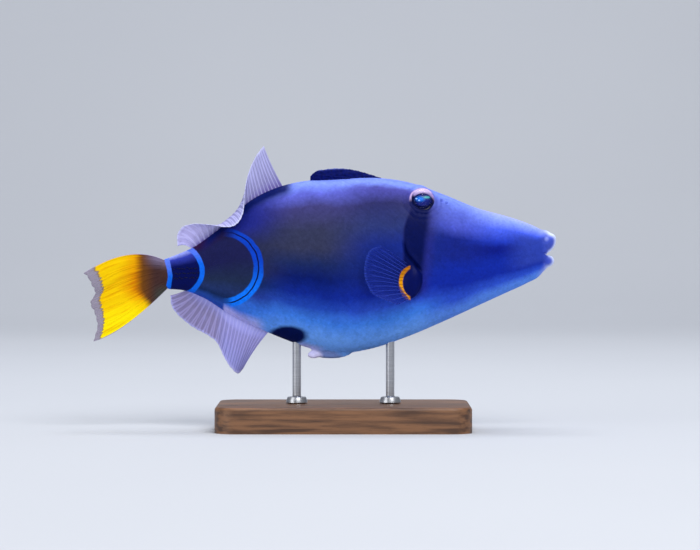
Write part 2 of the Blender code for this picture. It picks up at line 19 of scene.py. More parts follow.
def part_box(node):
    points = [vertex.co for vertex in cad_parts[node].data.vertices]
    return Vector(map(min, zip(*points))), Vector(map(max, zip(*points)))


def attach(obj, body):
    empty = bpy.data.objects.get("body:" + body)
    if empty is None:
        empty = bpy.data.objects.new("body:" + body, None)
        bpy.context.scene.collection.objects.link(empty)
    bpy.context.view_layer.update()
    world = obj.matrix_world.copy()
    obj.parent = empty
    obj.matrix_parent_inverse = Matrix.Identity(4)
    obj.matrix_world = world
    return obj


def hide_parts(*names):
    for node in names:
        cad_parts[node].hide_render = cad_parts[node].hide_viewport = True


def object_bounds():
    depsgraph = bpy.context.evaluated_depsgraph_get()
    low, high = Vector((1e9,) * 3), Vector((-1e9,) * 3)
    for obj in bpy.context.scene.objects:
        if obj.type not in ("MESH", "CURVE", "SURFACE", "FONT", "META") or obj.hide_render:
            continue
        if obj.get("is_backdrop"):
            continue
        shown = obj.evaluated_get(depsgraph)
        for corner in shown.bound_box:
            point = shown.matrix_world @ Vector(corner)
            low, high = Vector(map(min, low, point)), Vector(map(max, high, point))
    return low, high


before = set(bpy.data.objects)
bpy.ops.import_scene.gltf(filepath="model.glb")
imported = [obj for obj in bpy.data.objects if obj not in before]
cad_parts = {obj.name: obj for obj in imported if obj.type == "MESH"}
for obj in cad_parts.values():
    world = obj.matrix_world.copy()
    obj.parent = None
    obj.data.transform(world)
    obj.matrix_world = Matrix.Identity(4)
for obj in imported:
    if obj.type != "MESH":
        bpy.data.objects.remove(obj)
cad_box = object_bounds()
MM = 0.001
SIDES = {"right": -1, "left": 1}
size = cad_box[1] - cad_box[0]
print("nodes:", len(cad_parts), "box in mm:", [round(c / MM, 1) for c in size])

# %% [markdown]
# ## Camera
#
# The fish was seen straight from its right side, from far away through a long lens, which keeps
# the outline free of perspective. The camera stands on the same line, a touch above the middle,
# and its lens is worked out from the width that the view has to cover at the fish.

# %% Camera
VIEW_CENTRE = Vector((13.8, 0, 71.9)) * MM
VIEW_WIDTH = 326 * MM
CAMERA_DISTANCE = 1500 * MM
CAMERA_RISE = math.radians(1)
FARTHEST_SEEN = 20


def in_scene(name, data):
    """A new object of the scene that shows this mesh, light or camera."""
    obj = bpy.data.objects.new(name, data)
    bpy.context.scene.collection.objects.link(obj)
    return obj


def look_at(obj, place, target):
    """Puts a camera or a light at a place and turns it towards a target."""
    obj.location = place
    obj.rotation_euler = (Vector(target) - Vector(place)).to_track_quat("-Z", "Y").to_euler()


camera = in_scene("camera", bpy.data.cameras.new("camera"))
camera.data.lens = camera.data.sensor_width * CAMERA_DISTANCE / VIEW_WIDTH
camera.data.clip_end = FARTHEST_SEEN
away = Vector((0, -math.cos(CAMERA_RISE), math.sin(CAMERA_RISE)))
look_at(camera, VIEW_CENTRE + away * CAMERA_DISTANCE, VIEW_CENTRE)
bpy.context.scene.camera = camera
bpy.context.scene.view_settings.view_transform = "Standard"
print("lens in mm:", round(camera.data.lens, 1))

# %% [markdown]
# ## Colours by name
#
# A colour seen on a screen isn't the number that a shader needs: light adds up in a straight line
# and the eye doesn't. The helper turns a colour into linear light. The names below are a
# painter's palette for the fish and its stand, and everything is mixed from them.

# %% Colour helper and palette


def colour(red, green, blue):
    """A colour, each part from 0 to 255, as the linear light that shaders read."""
    parts = [part / 255 for part in (red, green, blue)]
    return (*[p / 12.92 if p < 0.04 else ((p + 0.055) / 1.055) ** 2.4 for p in parts], 1)


PALETTE = {name: colour(*shade) for name, shade in {
    # The first colour is partly the back's own paler blue and partly a painted highlight of light from
    # above.
    "back lilac and painted highlight": (116, 138, 232), "back violet": (90, 96, 196), "flank violet": (60, 58, 114),
    "flank smoke": (48, 52, 81), "flank slate": (23, 38, 88), "flank deep": (2, 23, 100),
    "flank navy": (10, 38, 140), "band blue": (31, 70, 176), "belly blue": (64, 129, 230),
    # The first colour here is partly the belly's own pale blue and partly painted light from below.
    "belly pale and painted light from below": (108, 166, 252), "aft navy": (15, 38, 84), "aft slate": (35, 40, 74),
    "aft belly": (50, 106, 210), "aft violet": (28, 36, 124), "hem lilac": (196, 186, 236),
    "aft blue": (34, 58, 146), "shoulder blue": (38, 50, 108), "shoulder deep": (20, 40, 128),
    "shoulder violet": (36, 38, 92), "back dusk": (72, 72, 158), "vent black": (0, 16, 74),
    "cheek deep": (17, 33, 124), "cheek blue": (13, 39, 154), "cheek violet": (66, 78, 184),
    "cheek lilac": (84, 98, 196), "jaw blue": (44, 80, 200), "jaw pale": (86, 136, 232),
    "snout deep": (5, 22, 124), "snout blue": (26, 52, 178), "snout violet": (62, 88, 218),
    "snout lilac": (126, 147, 246), "snout front": (40, 60, 160), "rear night": (23, 26, 74),
    "rear olive": (28, 41, 72), "rear teal": (30, 48, 98), "dorsal shadow": (5, 20, 88),
    "rear blue": (32, 70, 156), "stem black": (0, 9, 78), "stem violet": (46, 58, 164),
    "bar navy": (0, 11, 72), "pad black": (0, 10, 78), "line black": (2, 10, 64),
    "electric blue": (10, 118, 248), "royal blue": (4, 60, 184), "arc blue": (8, 100, 226),
    "pale line": (84, 116, 228), "band orange": (234, 156, 4), "band amber": (186, 112, 14),
    "flap lavender": (112, 128, 184), "flap knob": (206, 204, 244), "lid rose": (196, 168, 216),
    "lid lavender": (124, 136, 226), "bar fringe": (50, 40, 112), "lip side": (66, 84, 186),
    # The first two colours here are painted highlights along the lips and along the ridge.
    "painted lip highlight": (212, 222, 255), "painted ridge highlight": (160, 172, 248), "rear wine": (44, 16, 62),
    "tail lilac": (124, 113, 144), "tail brown": (64, 41, 40), "tail rust": (112, 66, 14),
    "tail olive": (62, 72, 66), "eye pink": (150, 132, 190), "eye salmon": (206, 184, 226),
    # The last colour here and the first two on the next line are painted reflections and a painted
    # highlight on the eye's lens.
    "eye navy": (8, 14, 62), "eye gold": (150, 146, 118), "painted lens glow": (10, 118, 238),
    "painted teal reflection": (86, 186, 182), "painted lens highlight": (170, 214, 250), "lens blue": (24, 34, 118),
    "lens rim": (6, 16, 84), "tail orange": (204, 122, 0), "tail amber": (230, 162, 0),
    # The last colour here is painted shade beside the teeth of the tail's saw edge.
    "tail yellow": (244, 200, 2), "tail lemon": (250, 228, 4), "painted saw edge shade": (138, 108, 76),
    "tail margin": (152, 143, 162), "tail outline": (170, 160, 186), "dorsal root": (94, 82, 152),
    "dorsal middle": (148, 146, 200), "dorsal outer": (160, 160, 212), "dorsal ray": (192, 192, 234),
    "dorsal edge": (200, 202, 240), "dorsal rear": (184, 178, 234), "anal root": (158, 160, 226),
    "anal middle": (136, 132, 198), "anal outer": (126, 128, 200), "anal ray": (196, 192, 242),
    "anal edge": (170, 170, 228), "anal rear": (126, 116, 166), "pectoral root": (10, 26, 110),
    "pectoral middle": (18, 38, 136), "pectoral outer": (22, 42, 142), "pectoral ray": (70, 92, 196),
    "pectoral edge": (40, 62, 164), "blade dark": (0, 8, 70), "blade navy": (6, 18, 98),
    "blade edge": (96, 110, 200), "horn black": (4, 8, 44), "horn blue": (10, 18, 70),
    "wood dark": (74, 48, 32), "wood light": (128, 88, 58), "wood pore": (44, 28, 20),
    "steel dark": (150, 152, 158), "steel light": (205, 207, 212), "paper grey": (190, 193, 200),
    "paper white": (196, 199, 205),
}.items()}
print("palette:", len(PALETTE), "colours")

# %% [markdown]
# ## Fields: arithmetic that becomes nodes
#
# A marking is a formula, such as a distance from a circle. Built by hand it takes a dozen Math
# nodes. This small class writes them while the formula reads as ordinary arithmetic. Markings
# that only fade in over spans of a few fields need no formula: a table lists their colour, their
# strength and their spans. Nothing here is special to the fish.

# %% Node helpers


def feed(socket, value):
    """Links a field or a socket to an input, or sets a plain value or a colour by its name."""
    value = getattr(value, "socket", value)
    if isinstance(value, bpy.types.NodeSocket):
        socket.id_data.links.new(value, socket)
    else:
        socket.default_value = PALETTE[value] if isinstance(value, str) else value


class Field:
    """A number that changes over a surface, kept as the output of a node."""

    def __init__(self, socket):
        self.socket = socket
        self.tree = socket.id_data

    def math(self, operation, *others):
        node = self.tree.nodes.new("ShaderNodeMath")
        node.operation = operation
        for socket, value in zip(node.inputs, (self, *others)):
            feed(socket, value)
        return Field(node.outputs[0])

    def __add__(self, other):
        return self.math("ADD", other)

    def __sub__(self, other):
        return self.math("SUBTRACT", other)

    def __rsub__(self, other):
        return self.math("MULTIPLY_ADD", -1.0, other)

    def __mul__(self, other):
        return self.math("MULTIPLY", other)

    def __truediv__(self, other):
        return self.math("DIVIDE", other)

    def __abs__(self):
        return self.math("ABSOLUTE")

    def root(self):
        return self.math("MAXIMUM", 0.0).math("SQRT")

    def rise(self, low, high):
        """Smoothly 0 below low and 1 above high, or the other way round where low is above high."""
        node = self.tree.nodes.new("ShaderNodeMapRange")
        node.interpolation_type = "SMOOTHSTEP"
        if low < high:
            values = (self, low, high, 0.0, 1.0)
        else:
            values = (self, high, low, 1.0, 0.0)
        for socket, value in zip(node.inputs, values):
            feed(socket, value)
        return Field(node.outputs[0])


MIX_FACTOR, MIX_A, MIX_B, MIX_RESULT = 0, 6, 7, 2


def blend(mask, below, above):
    """The colour below, covered by the colour above where the mask is 1."""
    node = mask.tree.nodes.new("ShaderNodeMix")
    node.data_type = "RGBA"
    for number, value in ((MIX_FACTOR, mask), (MIX_A, below), (MIX_B, above)):
        feed(node.inputs[number], value)
    return node.outputs[MIX_RESULT]


def painted(body, fields, patches):
    """A colour covered by patches, each with a colour, a strength and spans that fields rise over."""
    for shade, strength, *spans in patches:
        mask = strength
        for label, start, end in spans:
            mask = fields[label].rise(start, end) * mask
        body = blend(mask, body, shade)
    return body


def ramp(field, stops):
    """A colour that runs through named colours of the palette, each at its place from 0 to 1."""
    node = field.tree.nodes.new("ShaderNodeValToRGB")
    feed(node.inputs[0], field)
    elements = node.color_ramp.elements
    for element, (place, name) in zip(elements, (stops[0], stops[-1])):
        element.position = place
        element.color = PALETTE[name]
    for place, name in stops[1:-1]:
        elements.new(place).color = PALETTE[name]
    return node.outputs[0]


def noise(vector, size, detail=2.0):
    """Cloudy noise around 0.5, with patches of this size in millimetres."""
    node = vector.id_data.nodes.new("ShaderNodeTexNoise")
    feed(node.inputs["Vector"], vector)
    node.inputs["Scale"].default_value = 1 / (size * MM)
    node.inputs["Detail"].default_value = detail
    return Field(node.outputs[0])


def cloud(vector, size, detail, strength):
    """Cloudy noise around 0 of this strength."""
    return (noise(vector, size, detail) - 0.5) * strength


def split_place(vector):
    """The x, y and z of a place in metres, as fields in millimetres."""
    node = vector.id_data.nodes.new("ShaderNodeSeparateXYZ")
    feed(node.inputs[0], vector)
    return [Field(output) * (1 / MM) for output in node.outputs]


print("node helpers ready")

# %% [markdown]
# ## The body's shape
#
# A fish is a row of rounded sections along a line from the mouth to the tail. These few sizes are
# the same as those of the solids: height of the back and depth of the belly about that line, half
# the width, and how full or keeled each section is. Curves run smoothly through them.

# %% Body sizes in millimetres
MOUTH_X, MOUTH_Z, NOSE_UP = 105.6, 81.7, math.radians(3)
BACK = ((-76.5, 6.3), (-72.6, 7.2), (-66, 9.3), (-58.4, 12.4), (-47.2, 20.9), (-31.4, 33.0),
        (-20.6, 37.6), (-10, 39.7), (5.5, 40.2), (26, 39.7), (40.4, 37.0), (57.2, 30.4),
        (73.5, 23.0), (86.1, 18.9), (94.4, 15.8), (101.5, 12.4), (105.2, 10.1))
BELLY = ((-76.5, 6.2), (-72.6, 7.0), (-62, 8.8), (-54.2, 12.4), (-39.7, 22.4), (-28, 28.2),
         (-16.9, 33.4), (-5, 38.3), (8, 41.3), (23.6, 40.0), (40.4, 35.3), (57.2, 29.1),
         (73.5, 22.5), (86.1, 17.4), (96.3, 13.2), (102.4, 9.9), (105.2, 6.3))
HALF_WIDTH = ((-76.5, 0.8), (-72.6, 2.2), (-66, 3.7), (-58.4, 4.7), (-47, 6.8), (-31, 11.0),
              (-14, 15.0), (4, 17.2), (22, 17.7), (40, 16.6), (57, 14.2), (75, 10.8), (90, 7.9),
              (100, 5.7), (105.2, 4.2))
BACK_FULLNESS = ((-76.5, 2), (-72.6, 2), (-40, 1.75), (0, 1.85), (25, 2), (44, 2.4), (55, 2.35),
                 (75, 2), (105.2, 2))
BELLY_FULLNESS = ((-76.5, 2), (-72.6, 2), (-40, 1.75), (-10, 1.65), (20, 1.7), (60, 1.8), (105.2, 2))
BODY_ENDS = (-76.5, 105.2)
COAT_DEPTH = 0.12


def smooth_curve(keys):
    """A function of numbers or arrays that runs smoothly through (place, value) keys."""
    places, values = np.array(keys, float).T
    steps = np.diff(places)
    slopes = np.diff(values) / steps
    inner = (slopes[:-1] * steps[1:] + slopes[1:] * steps[:-1]) / (steps[1:] + steps[:-1])
    tangents = np.concatenate(([slopes[0]], inner, [slopes[-1]]))

    def value_at(place):
        place = np.clip(place, places[0], places[-1])
        i = np.clip(np.searchsorted(places, place, side="right") - 1, 0, len(steps) - 1)
        h = steps[i]
        t = (place - places[i]) / h
        ease = t * t * (3 - 2 * t)
        start = tangents[i] * h * t * (1 - t) ** 2
        end = tangents[i + 1] * h * t * t * (t - 1)
        return values[i] * (1 - ease) + values[i + 1] * ease + start + end

    return value_at


back, belly, half_width = smooth_curve(BACK), smooth_curve(BELLY), smooth_curve(HALF_WIDTH)
back_fullness, belly_fullness = smooth_curve(BACK_FULLNESS), smooth_curve(BELLY_FULLNESS)


def axis_height(x):
    """Height of the line from the mouth to the middle of the tail stem."""
    return MOUTH_Z - math.tan(NOSE_UP) * (MOUTH_X - x)


def body_point(x, turn, grow=0.0):
    """Points of the body's surface: turn runs from the ridge of the back round the left side."""
    rise, out = np.cos(turn), np.sin(turn)
    upper = rise > 0
    reach = np.where(upper, back(x), belly(x)) + grow
    power = np.where(upper, back_fullness(x), belly_fullness(x))
    z = axis_height(x) + reach * np.sign(rise) * np.abs(rise) ** (2 / power)
    y = (half_width(x) + grow) * np.sign(out) * np.abs(out) ** (2 / power)
    return np.stack([np.broadcast_to(x, z.shape), y, z], axis=-1)


def side_y(x, z):
    """Distance of the body's side from the middle plane at this x and height."""
    rise = z - axis_height(x)
    reach, power = (back(x), back_fullness(x)) if rise > 0 else (belly(x), belly_fullness(x))
    share = min(abs(rise) / reach, 1)
    return float(half_width(x) * (1 - share**power) ** (1 / power))


print("deepest body in mm:", round(float(max(back(x) + belly(x) for x in range(-70, 105))), 1))

# %% [markdown]
# ## Making pieces
#
# Most round things here are one cylinder cut into rings, whose points are then moved to where a
# formula puts them, such as a body or a spine. Others are spun or stretched. One helper turns a
# finished bmesh into a piece that rides on the model and stands for solids that it replaces.

# %% Mesh helpers
MERGE_DISTANCE = 0.002
PATH_STEP = 0.01
SIDEWAYS = (0.13, 0.98, 0.11)


def mesh_of(bm, name):
    """A mesh with everything that a bmesh holds; the bmesh itself is freed."""
    mesh = bpy.data.meshes.new(name)
    bm.to_mesh(mesh)
    bm.free()
    return mesh


def moved(bm, matrix):
    """The same bmesh, moved by a matrix."""
    bmesh.ops.transform(bm, matrix=matrix, verts=bm.verts)
    return bm


def faces_out(bm):
    """The same bmesh with its faces outwards."""
    bmesh.ops.recalc_face_normals(bm, faces=bm.faces)
    return bm


def ringed_tube(rings, around):
    """A closed cylinder cut into rings, with t from 0 to 1 along it and an angle round it."""
    bm = bmesh.new()
    bmesh.ops.create_cone(bm, cap_ends=True, segments=around, radius1=1, radius2=1, depth=1)
    lengthwise = [e for e in bm.edges if abs(e.verts[0].co.z - e.verts[1].co.z) > 0.5]
    bmesh.ops.subdivide_edges(bm, edges=lengthwise, cuts=rings - 2)
    flat = np.array([v.co for v in bm.verts])
    return bm, np.clip(flat[:, 2] + 0.5, 0, 1), np.arctan2(flat[:, 1], flat[:, 0])


def points_of(bm):
    """The vertices of a bmesh as an array in millimetres."""
    return np.array([v.co for v in bm.verts]) / MM


def move_points(bm, points):
    """Puts the vertices of a bmesh at these points, given in millimetres."""
    for vert, point in zip(bm.verts, np.asarray(points) * MM):
        vert.co = point


def ball(centre, radii, lean=0.0, around=48, up=32):
    """A closed ball stretched to three radii, leaned forward at its top and placed."""
    bm = bmesh.new()
    bmesh.ops.create_uvsphere(bm, u_segments=around, v_segments=up, radius=MM)
    place = Matrix.Translation(Vector(centre) * MM) @ Matrix.Rotation(lean, 4, "Y")
    return moved(bm, place @ Matrix.Diagonal((*radii, 1)))


def spun(bm, outline, steps):
    """Spins the outline in a bmesh once round the vertical axis into a closed shape."""
    bmesh.ops.spin(bm, geom=outline, cent=(0, 0, 0), axis=(0, 0, 1), angle=2 * math.pi,
                   steps=steps, use_merge=True)
    bmesh.ops.remove_doubles(bm, verts=bm.verts, dist=MERGE_DISTANCE * MM)
    return faces_out(bm)


def turned(profile, steps):
    """A closed turned shape from (radius, height) corners that start and end on the axis."""
    bm = bmesh.new()
    line = [bm.verts.new((radius * MM, 0, height * MM)) for radius, height in profile]
    return spun(bm, line + [bm.edges.new(pair) for pair in zip(line, line[1:])], steps)


def tapered_tube(path, radius, rings, around):
    """A round closed tube along path(t), with radius(t) in millimetres."""
    bm, t, turn = ringed_tube(rings, around)
    along = path(np.clip(t + PATH_STEP, 0, 1)) - path(np.clip(t - PATH_STEP, 0, 1))
    along /= np.linalg.norm(along, axis=1)[:, None]
    side = np.cross(along, SIDEWAYS)
    side /= np.linalg.norm(side, axis=1)[:, None]
    ring = np.cos(turn)[:, None] * side + np.sin(turn)[:, None] * np.cross(along, side)
    move_points(bm, path(t) + ring * radius(t)[:, None])
    return faces_out(bm)


def joined(parts):
    """Several bmeshes as one."""
    whole = bmesh.new()
    for part in parts:
        loose = mesh_of(part, "loose")
        whole.from_mesh(loose)
        bpy.data.meshes.remove(loose)
    return whole


def modified(bm, kind, **settings):
    """What a modifier of this kind makes of a bmesh."""
    clay = in_scene("clay", mesh_of(bm, "clay"))
    modifier = clay.modifiers.new("change", kind)
    for label, value in settings.items():
        setattr(modifier, label, value)
    mesh = bpy.data.meshes.new_from_object(clay.evaluated_get(bpy.context.evaluated_depsgraph_get()))
    bpy.data.objects.remove(clay)
    result = bmesh.new()
    result.from_mesh(mesh)
    bpy.data.meshes.remove(mesh)
    return result


def new_piece(name, bm, material, slot, *stands_for, crisp=None):
    """A finished piece that rides on the model's one body, with crisp edges past an angle."""
    if bm.calc_volume(signed=True) < 0:
        bmesh.ops.reverse_faces(bm, faces=bm.faces)
    mesh = mesh_of(bm, name)
    mesh.materials.append(material)
    mesh.shade_smooth()
    if crisp:
        mesh.set_sharp_from_angle(angle=math.radians(crisp))
    piece = in_scene(name, mesh)
    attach(piece, "root")
    if stands_for:
        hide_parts(*stands_for)
    triangles = sum(len(p.vertices) - 2 for p in mesh.polygons)
    print(f"{name}: {triangles} triangles, stands for {', '.join(stands_for) or 'nothing'}")
    return piece


def mark(piece, name, values):
    """Stores a number for each vertex of a piece, which its material can read by name."""
    layer = piece.data.attributes.new(name, "FLOAT", "POINT")
    layer.data.foreach_set("value", np.asarray(values, np.float32))


print("mesh helpers ready")

# %% [markdown]
# ## Where the head's features are
#
# The eye looks halfway between straight out and the slope of the head. Everything round it, the
# mound, the lid, the groove in front and the nostrils, is placed from the eye's own axes.

# %% Places on the head
EYE_SPOT = (47.4, 106.9)
EYE_RADIUS, EYE_HALF_DEPTH, EYE_SUNK = 6.2, 4.6, 2.5
PAD_X, PAD_Z = 42.4, 68.2
NOSTRILS = ((56.2, 106.4, 0.62), (58.6, 105.2, 0.5))
GILL_KEYS = ((73.2, 47.0), (77.1, 44.1), (81.2, 40.5), (84.8, 38.9), (88.6, 38.5))
LIP_GROOVES = ((103.2, 89.4), (104.0, 86.0), (103.4, 82.6)), ((103.2, 80.4), (103.9, 76.6))
LIP_FOLD = ((104.3, 86.8), (106.4, 88.4))
BEFORE_THE_EYE = ((55.0, 103.4), (60.0, 102.6), (67.0, 100.2))
SLOPE_STEP = 0.5
LIP_FOLD = ((104.3, 86.8), (106.4, 88.4))
SLOPE_STEP = 0.5


def eye_axes(side):
    """The eye's spot on the head and its turn: local X forwards, Y up and Z out of the head."""
    x, z = EYE_SPOT
    slope_x = (side_y(x + SLOPE_STEP, z) - side_y(x - SLOPE_STEP, z)) / (2 * SLOPE_STEP)
    slope_z = (side_y(x, z + SLOPE_STEP) - side_y(x, z - SLOPE_STEP)) / (2 * SLOPE_STEP)
    normal = Vector((-slope_x, side, -slope_z)).normalized()
    look = (normal + Vector((0, side, 0))).normalized()
    up = (Vector((0, 0, 1)) - look * look.z).normalized()
    forward = up.cross(look)
    turn = Matrix((forward, up, look)).transposed()
    return Vector((x, side * side_y(x, z), z)), turn


def eye_polar(points, side):
    """Each point's distance from the eye's axis, its angle round it and its height along it."""
    spot, turn = eye_axes(side)
    forward, up, out = ((points - np.array(spot)) @ np.array(turn)).T
    return np.hypot(forward, up), np.arctan2(up, forward), out


def distance_to_line(points, line):
    """Distance of points from a line of (x, z) corners in the side view, and the share along it."""
    best = np.full(len(points), 1e9)
    share = np.zeros(len(points))
    flat = points[:, (0, 2)]
    for k, (a, b) in enumerate(zip(np.array(line[:-1]), np.array(line[1:]))):
        t = np.clip(((flat - a) @ (b - a)) / ((b - a) @ (b - a)), 0, 1)
        far = np.linalg.norm(flat - a - t[:, None] * (b - a), axis=1)
        share = np.where(far < best, (k + t) / (len(line) - 1), share)
        best = np.minimum(far, best)
    return best, share


gill_x = smooth_curve(GILL_KEYS)
gill_heights = np.linspace(GILL_KEYS[0][0], GILL_KEYS[-1][0], 17)
GILL_OPENING = [(float(gill_x(z)), float(z)) for z in gill_heights]
for name, side in SIDES.items():
    print(name, "eye looks along", [round(c, 2) for c in eye_axes(side)[1].col[2]])

# %% [markdown]
# ## One skin
#
# On the fish the skin runs without a seam from the lips to the tail. Sculptors get that by
# pressing clay lumps together, and voxels do the same: the body, the lips, the mounds round the
# eyes, the roots of the pectoral fins and the pelvic flap are laid into each other, and a remesh
# wraps them in one surface that a little smoothing then melts together.

# %% Lumps of clay
BODY_RINGS, BODY_AROUND = 200, 128
VOXEL, SMOOTHINGS = 0.64, 4
LID_RING, LID_THICKNESS, LID_SUNK = 6.0, 0.6, 0.75
MOUND_BACK, MOUND_RADII, MOUND_SUNK = 1.8, (9.2, 8.6, 4.8), 5.3
PAD_RADII, PAD_LEAN = (4.4, 2.4, 7.5), 10
FLAP, FLAP_RADII = (5.0, 0, 36.0), (9.6, 1.7, 3.1)
FLAP_KNOB, KNOB_RADII = (-2.9, 0, 34.9), (3.2, 1.9, 1.6)
FLAP_WARTS, WARTS_LONG, WARTS_HIGH, WART_SIZES = 26, 2.7, 1.3, (0.45, 0.75)
WART_PLACES = (math.pi * 0.9, -1.2), (math.pi * 1.7, 1.2)
LIPS = ((106.0, 86.7, (3.4, 4.6, 5.0), 30), (104.2, 88.6, (3.7, 4.0, 4.3), 0),
        (105.6, 78.5, (3.4, 4.2, 3.0), 0), (102.4, 76.2, (3.2, 3.6, 2.9), 0))


def body_lump():
    """The whole flesh, from the stem's end inside the tail fin to the blunt end of the snout."""
    bm, t, turn = ringed_tube(BODY_RINGS, BODY_AROUND)
    x = BODY_ENDS[0] + (BODY_ENDS[1] - BODY_ENDS[0]) * t
    move_points(bm, body_point(x, turn, -COAT_DEPTH))
    return faces_out(bm)


def on_eye(bm, side, sunk):
    """Turns a shape made round the origin into the eye's axes, sunk below its spot."""
    spot, turn = eye_axes(side)
    return moved(bm, Matrix.Translation((spot - turn.col[2] * sunk) * MM) @ turn.to_4x4())


def lid_ring(side):
    """The round fold of skin that rims the eye."""
    bm = bmesh.new()
    bmesh.ops.create_circle(bm, segments=16, radius=LID_THICKNESS * MM)
    moved(bm, Matrix.Translation((LID_RING * MM, 0, 0)) @ Matrix.Rotation(math.pi / 2, 4, "X"))
    return on_eye(spun(bm, bm.verts[:] + bm.edges[:], 64), side, LID_SUNK)


def flap_lumps():
    """The pelvic flap, the knob at its rear and the rough warts on the knob."""
    random = np.random.default_rng(4)
    lumps = [ball(FLAP, FLAP_RADII), ball(FLAP_KNOB, KNOB_RADII)]
    for _ in range(FLAP_WARTS):
        angle, y = random.uniform(*WART_PLACES)
        x = FLAP_KNOB[0] + WARTS_LONG * math.cos(angle)
        z = FLAP_KNOB[2] + WARTS_HIGH * math.sin(angle)
        lumps.append(ball((x, y, z), random.uniform(*WART_SIZES, 3), 0, 12, 8))
    return lumps


lumps = [body_lump(), *flap_lumps()]
lumps += [ball((x, 0, z), radii, math.radians(lean)) for x, z, radii, lean in LIPS]
for side in SIDES.values():
    mound = ball((MOUND_BACK * side, 0, 0), MOUND_RADII)
    pad_centre = (PAD_X, side * side_y(PAD_X, PAD_Z), PAD_Z)
    lumps += [on_eye(mound, side, MOUND_SUNK), lid_ring(side),
              ball(pad_centre, PAD_RADII, math.radians(PAD_LEAN))]
print("lumps of clay:", len(lumps))

# %% Press them together
skin = modified(joined(lumps), "REMESH", mode="VOXEL", voxel_size=VOXEL * MM)
for _ in range(SMOOTHINGS):
    bmesh.ops.smooth_vert(skin, verts=skin.verts, factor=0.5, use_axis_x=True, use_axis_y=True,
                          use_axis_z=True)
print("skin vertices:", len(skin.verts))

# %% [markdown]
# ## Folds and openings of the head
#
# Close to, the head is what makes a fish look alive: the line of the mouth, the groove that sets
# the lip off the snout, two small nostrils, the slit of the gills and the folds round the eye.
# The mesh is first made finer there. Each fold then moves the skin in or out along its own
# direction by a smooth hump, as a thumb does in clay.

# %% Finer mesh on the head's features
LIPS_FINE_FROM, EYE_FINE_RADIUS, EYE_FINE_UP, SLIT_FINE = 99.5, 8.6, 6, 2.2
NOSTRILS_MIDDLE, NOSTRILS_FINE = (57.4, 105.8), 3.4
FLANK_FROM = 8


def far_from(points, middle, radii=(1, 1)):
    """Distance of points from a middle in the side view, counted in the two radii."""
    return np.hypot((points[:, 0] - middle[0]) / radii[0], (points[:, 2] - middle[1]) / radii[1])


def near_features(points):
    """True where the skin needs a finer mesh: mouth, eyes, nostrils and gill openings."""
    near = points[:, 0] > LIPS_FINE_FROM
    for side in SIDES.values():
        far, _, up = eye_polar(points, side)
        pits = (far_from(points, NOSTRILS_MIDDLE) < NOSTRILS_FINE) & (points[:, 1] * side > 0)
        near |= (far < EYE_FINE_RADIUS) & (abs(up) < EYE_FINE_UP) | pits
    slit = distance_to_line(points, GILL_OPENING)[0] < SLIT_FINE
    return near | (slit & (abs(points[:, 1]) > FLANK_FROM))


chosen = near_features(points_of(skin))
skin.verts.ensure_lookup_table()
fine_edges = [e for e in skin.edges if chosen[e.verts[0].index] and chosen[e.verts[1].index]]
bmesh.ops.subdivide_edges(skin, edges=fine_edges, cuts=1, use_grid_fill=True, smooth=0.0)
print("skin vertices with the finer head:", len(skin.verts))

# %% Sculpt the folds
MOUTH_DEPTH, MOUTH_WIDTH, MOUTH_FROM, MOUTH_EASE = 1.1, 0.5, 103.0, 2
LIP_FOLDS = (LIP_GROOVES[0], 0.2), (LIP_GROOVES[1], 0.2), (LIP_FOLD, 0.22)
LIP_FOLD_WIDTH = 0.6
GILL_DEPTH, GILL_WIDTH, GILL_AHEAD, GILL_RIDGE = 1.3, 0.62, (1.5, 0, 0.5), 0.4
EYE_RINGS = ((7.3, 0.5, -0.3), (8.4, 0.6, 0.14))
OUTER_RING = (9.6, 0.6, -0.14)
GROOVE_DEPTH = 0.35
NOSTRIL_RIM, NOSTRIL_RIM_WIDTH, NOSTRIL_RISE, NOSTRIL_DEPTH = 0.45, 0.35, 0.28, 0.95
PAD_RIM_RADII, PAD_RIM_DEPTH = (5.6, 8.6), 0.35
SOCKET_RADIUS, SOCKET_PRESS = 5.3, 1.6


def hump(distance, width):
    """1 at distance 0, falling smoothly to about 0 at twice the width."""
    return np.exp(-((distance / width) ** 2))


def near_line(points, line, ease):
    """Distance of points from a line of the side view, and a share that fades at the line's ends."""
    distance, along = distance_to_line(points, line)
    return distance, np.clip(np.minimum(along, 1 - along) * ease, 0, 1)


def fold_heights(points):
    """How far each point of the skin moves out (above 0) or in (below 0), in millimetres."""
    x, y, z = points.T
    flank = abs(y) > FLANK_FROM
    mouth = hump(z - MOUTH_Z - 0.2 * np.sin(y * 0.9), MOUTH_WIDTH) * (x > MOUTH_FROM)
    move = -MOUTH_DEPTH * mouth * np.clip((x - MOUTH_FROM) / MOUTH_EASE, 0, 1)
    for line, depth in LIP_FOLDS:
        groove, ends = near_line(points, line, 4)
        move -= depth * hump(groove, LIP_FOLD_WIDTH) * ends * np.clip(abs(y) / 2, 0, 1)
    gill, ends = near_line(points, GILL_OPENING, 6)
    ridge = distance_to_line(points - GILL_AHEAD, GILL_OPENING)[0]
    move -= GILL_DEPTH * hump(gill, GILL_WIDTH) * ends * flank
    move += GILL_RIDGE * hump(ridge, 1.0) * ends * flank
    for side in SIDES.values():
        far, angle, up = eye_polar(points, side)
        here = (up > -7) & (y * side > 0)
        for radius, width, depth in EYE_RINGS:
            move += depth * hump(far - radius, width) * here
        radius, width, depth = OUTER_RING
        move += depth * hump(far - radius, width) * here * (0.6 + 0.4 * np.cos(angle * 2))
        move -= GROOVE_DEPTH * hump(distance_to_line(points, BEFORE_THE_EYE)[0], 1.0) * here
        for px, pz, radius in NOSTRILS:
            pit = far_from(points, (px, pz))
            rim = NOSTRIL_RISE * hump(pit - radius - NOSTRIL_RIM, NOSTRIL_RIM_WIDTH)
            move += (rim - NOSTRIL_DEPTH * hump(pit, radius * 0.8)) * here
    rim = far_from(points, (PAD_X, PAD_Z), PAD_RIM_RADII) - 1
    return move - PAD_RIM_DEPTH * hump(rim * 5, 0.5) * flank


